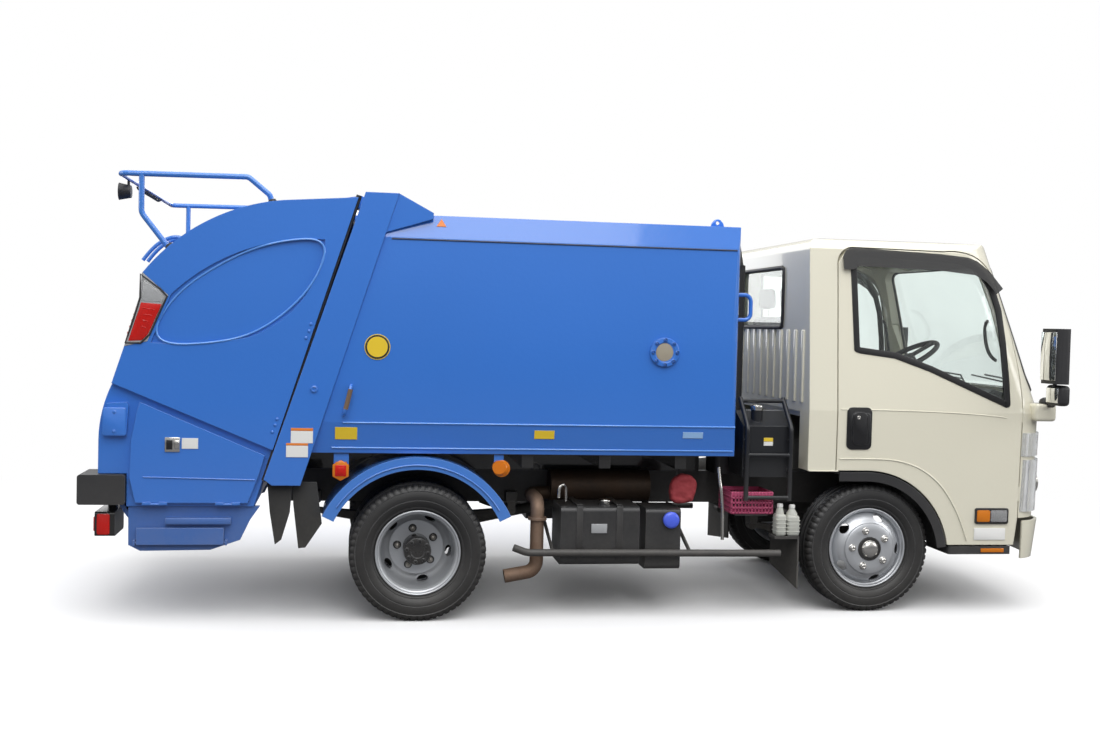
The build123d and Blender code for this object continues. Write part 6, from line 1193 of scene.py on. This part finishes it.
dome = turned(((-0.006, 0), (-0.006, 0.043), (0.004, 0.046), (0.018, 0.04), (0.028, 0.024), (0.031, 0)),
    (2.54, -0.835, 1.172), 32, UPRIGHT)
finish(dome, "round_mirror", plastic_finish, "cab", "mirror_black")


# Front face: black bars in the grille, round headlamps, wipers, windscreen rubber and a blank plate.
# All of it follows the nose, which bows forward in the middle.
def front_x(node_name, y, z):
    """The foremost surface of a CAD piece at a place seen from ahead."""
    hit, place, _, _ = nodes[node_name].ray_cast(Vector((4, y, z)), Vector((-1, 0, 0)))
    return place.x if hit else None


PLATE_SIZE = (0.005, 0.33, 0.165)
FRONT_PLATE_Z = 0.41
HEADLAMP_Z = 0.705
SCREEN_Z = 1.59
FACING_AHEAD = (0, pi / 2, 0)
grille_bars = []
for z in (0.69, 0.745, 0.8):
    bar_line = [(front_x("cab_shell", y, z) + 0.002, y, z) for y in (k * 0.058 - 0.464 for k in range(17))]
    grille_bars.append(tube(bar_line, 0.0125))
finish(joined(grille_bars), "grille_bars", plastic_finish, "cab", "grille_grey")
screen_points = [(0.11 * k, 1.235) for k in range(-6, 7)]
screen_points += [(0.7, 1.243), (0.727, 1.266), (0.7395, 1.3)]
screen_points += [(0.742 - 0.092 * k / 6, 1.33 + 0.09 * k) for k in range(7)]
screen_points += [(0.641, 1.902), (0.616, 1.928), (0.56, 1.94)]
screen_points += [(0.56 - 0.112 * k, 1.94) for k in range(1, 10)]
screen_points += [(-y, z) for y, z in reversed(screen_points[13:26])]
screen_line = []
for y, z in screen_points:
    above = z - SCREEN_Z
    face = front_x("cab_shell", y * 1.022, SCREEN_Z + above * 1.045) or 2.4
    screen_line.append((face - 0.002, y * 1.008, SCREEN_Z + above * 1.018))
finish(tube(screen_line, 0.012, cyclic=True), "windscreen_rubber", seal_finish, "cab", "cab_glass")
wipers = []
for y in (-0.47, 0.16):
    foot, *rods = [(front_x(node_name, y + across, z) + out, y + across, z) for node_name, across, z, out in (
        ("cab_shell", 0, 1.205, 0.004), ("cab_glass", 0.05, 1.285, 0.02), ("cab_glass", 0.36, 1.3, 0.018),
        ("cab_glass", 0.02, 1.262, 0.01), ("cab_glass", 0.52, 1.292, 0.01),
    )]
    wipers += [tube([foot, *rods[:2]], 0.006), tube(rods[2:], 0.005)]
    wipers.append(turned(((-0.004, 0), (-0.004, 0.016), (0.008, 0.015), (0.012, 0)), foot, 20, FACING_AHEAD))
finish(joined(wipers), "wipers", black_finish, "cab", "moulding_black")
lamp_rings = []
lamp_glasses = []
for y in (-0.666, 0.666):
    place = (front_x("cab_lamps", y, HEADLAMP_Z) - 0.006, y, HEADLAMP_Z)
    ring_profile = ((-0.01, 0.064), (0.004, 0.064), (0.008, 0.06), (0.008, 0.055), (0.002, 0.053),
        (-0.01, 0.053))
    glass_profile = ((-0.006, 0), (-0.006, 0.053), (0.002, 0.052), (0.008, 0.036), (0.01, 0))
    lamp_rings.append(turned(ring_profile, place, 48, FACING_AHEAD))
    lamp_glasses.append(turned(glass_profile, place, 48, FACING_AHEAD))
finish(joined(lamp_rings), "headlamp_rings", chrome_finish, "cab", "lamp_clear")
finish(joined(lamp_glasses), "headlamp_glasses", lamp_clear_finish, "cab", "lamp_clear")
plate_place = (front_x("front_bumper", 0, FRONT_PLATE_Z) + 0.001, 0, FRONT_PLATE_Z)
plate_front = block(plate_place, PLATE_SIZE, 0.0015)
finish(plate_front, "front_blank_plate", white_finish, "chassis", "bumper_cream")

# Rear face: a blank plate on the tub, a grab bar on the loading lid, and the lenses of the lamps.
# The bar is bent tube. The lenses are moulded in steps on the lamps' rear faces.
def back_x(node_name, y, z):
    """The rearmost surface of a CAD piece at a place seen from behind."""
    hit, place, _, _ = nodes[node_name].ray_cast(Vector((-4, y, z)), Vector((1, 0, 0)))
    return place.x if hit else None


REAR_PLATE_Z = 0.56
LID_BAR_Z = 1.1
LID_BAR_HALF = 0.35
LENS_Y = 0.902
LOW_LENS_Z = 0.5
plate_place = (back_x("hopper_tub", 0, REAR_PLATE_Z) - 0.002, 0, REAR_PLATE_Z)
plate_rear = block(plate_place, PLATE_SIZE, 0.0015)
finish(plate_rear, "rear_blank_plate", white_finish, "tailgate", "tub_blue")
lid_face = back_x("loading_lid", LID_BAR_HALF, LID_BAR_Z)
bar_line = ((0.004, -LID_BAR_HALF), (-0.03, -LID_BAR_HALF), (-0.03, LID_BAR_HALF), (0.004, LID_BAR_HALF))
lid_bar = tube([(lid_face + out, y, LID_BAR_Z) for out, y in bar_line], 0.011)
finish(lid_bar, "lid_bar", fender_finish, "lid", "gate_blue")
rear_lenses = {"red": [], "clear": [], "orange": []}
for side in (-1, 1):
    for kind, heights in (("red", (1.44, 1.47, 1.5, 1.53, 1.56, 1.59)), ("clear", (1.63, 1.662))):
        for z in heights:
            face = back_x("tail_lamps", side * LENS_Y, z)
            rear_lenses[kind].append(block((face - 0.001, side * LENS_Y, z), (0.012, 0.048, 0.026), 0.004))
    for kind, y in (("red", 0.868), ("orange", 0.806), ("clear", 0.744)):
        face = back_x("tail_lamps", side * y, LOW_LENS_Z)
        if face:
            place = (face - 0.001, side * y, LOW_LENS_Z)
            rear_lenses[kind].append(block(place, (0.012, 0.052, 0.072), 0.004))
for kind, lens_finish, slot in (("red", red_finish, "lamp_red"), ("clear", lamp_clear_finish, "lamp_clear"),
        ("orange", orange_finish, "lens_orange")):
    finish(joined(rear_lenses[kind]), f"rear_lenses_{kind}", lens_finish, "tailgate", slot)
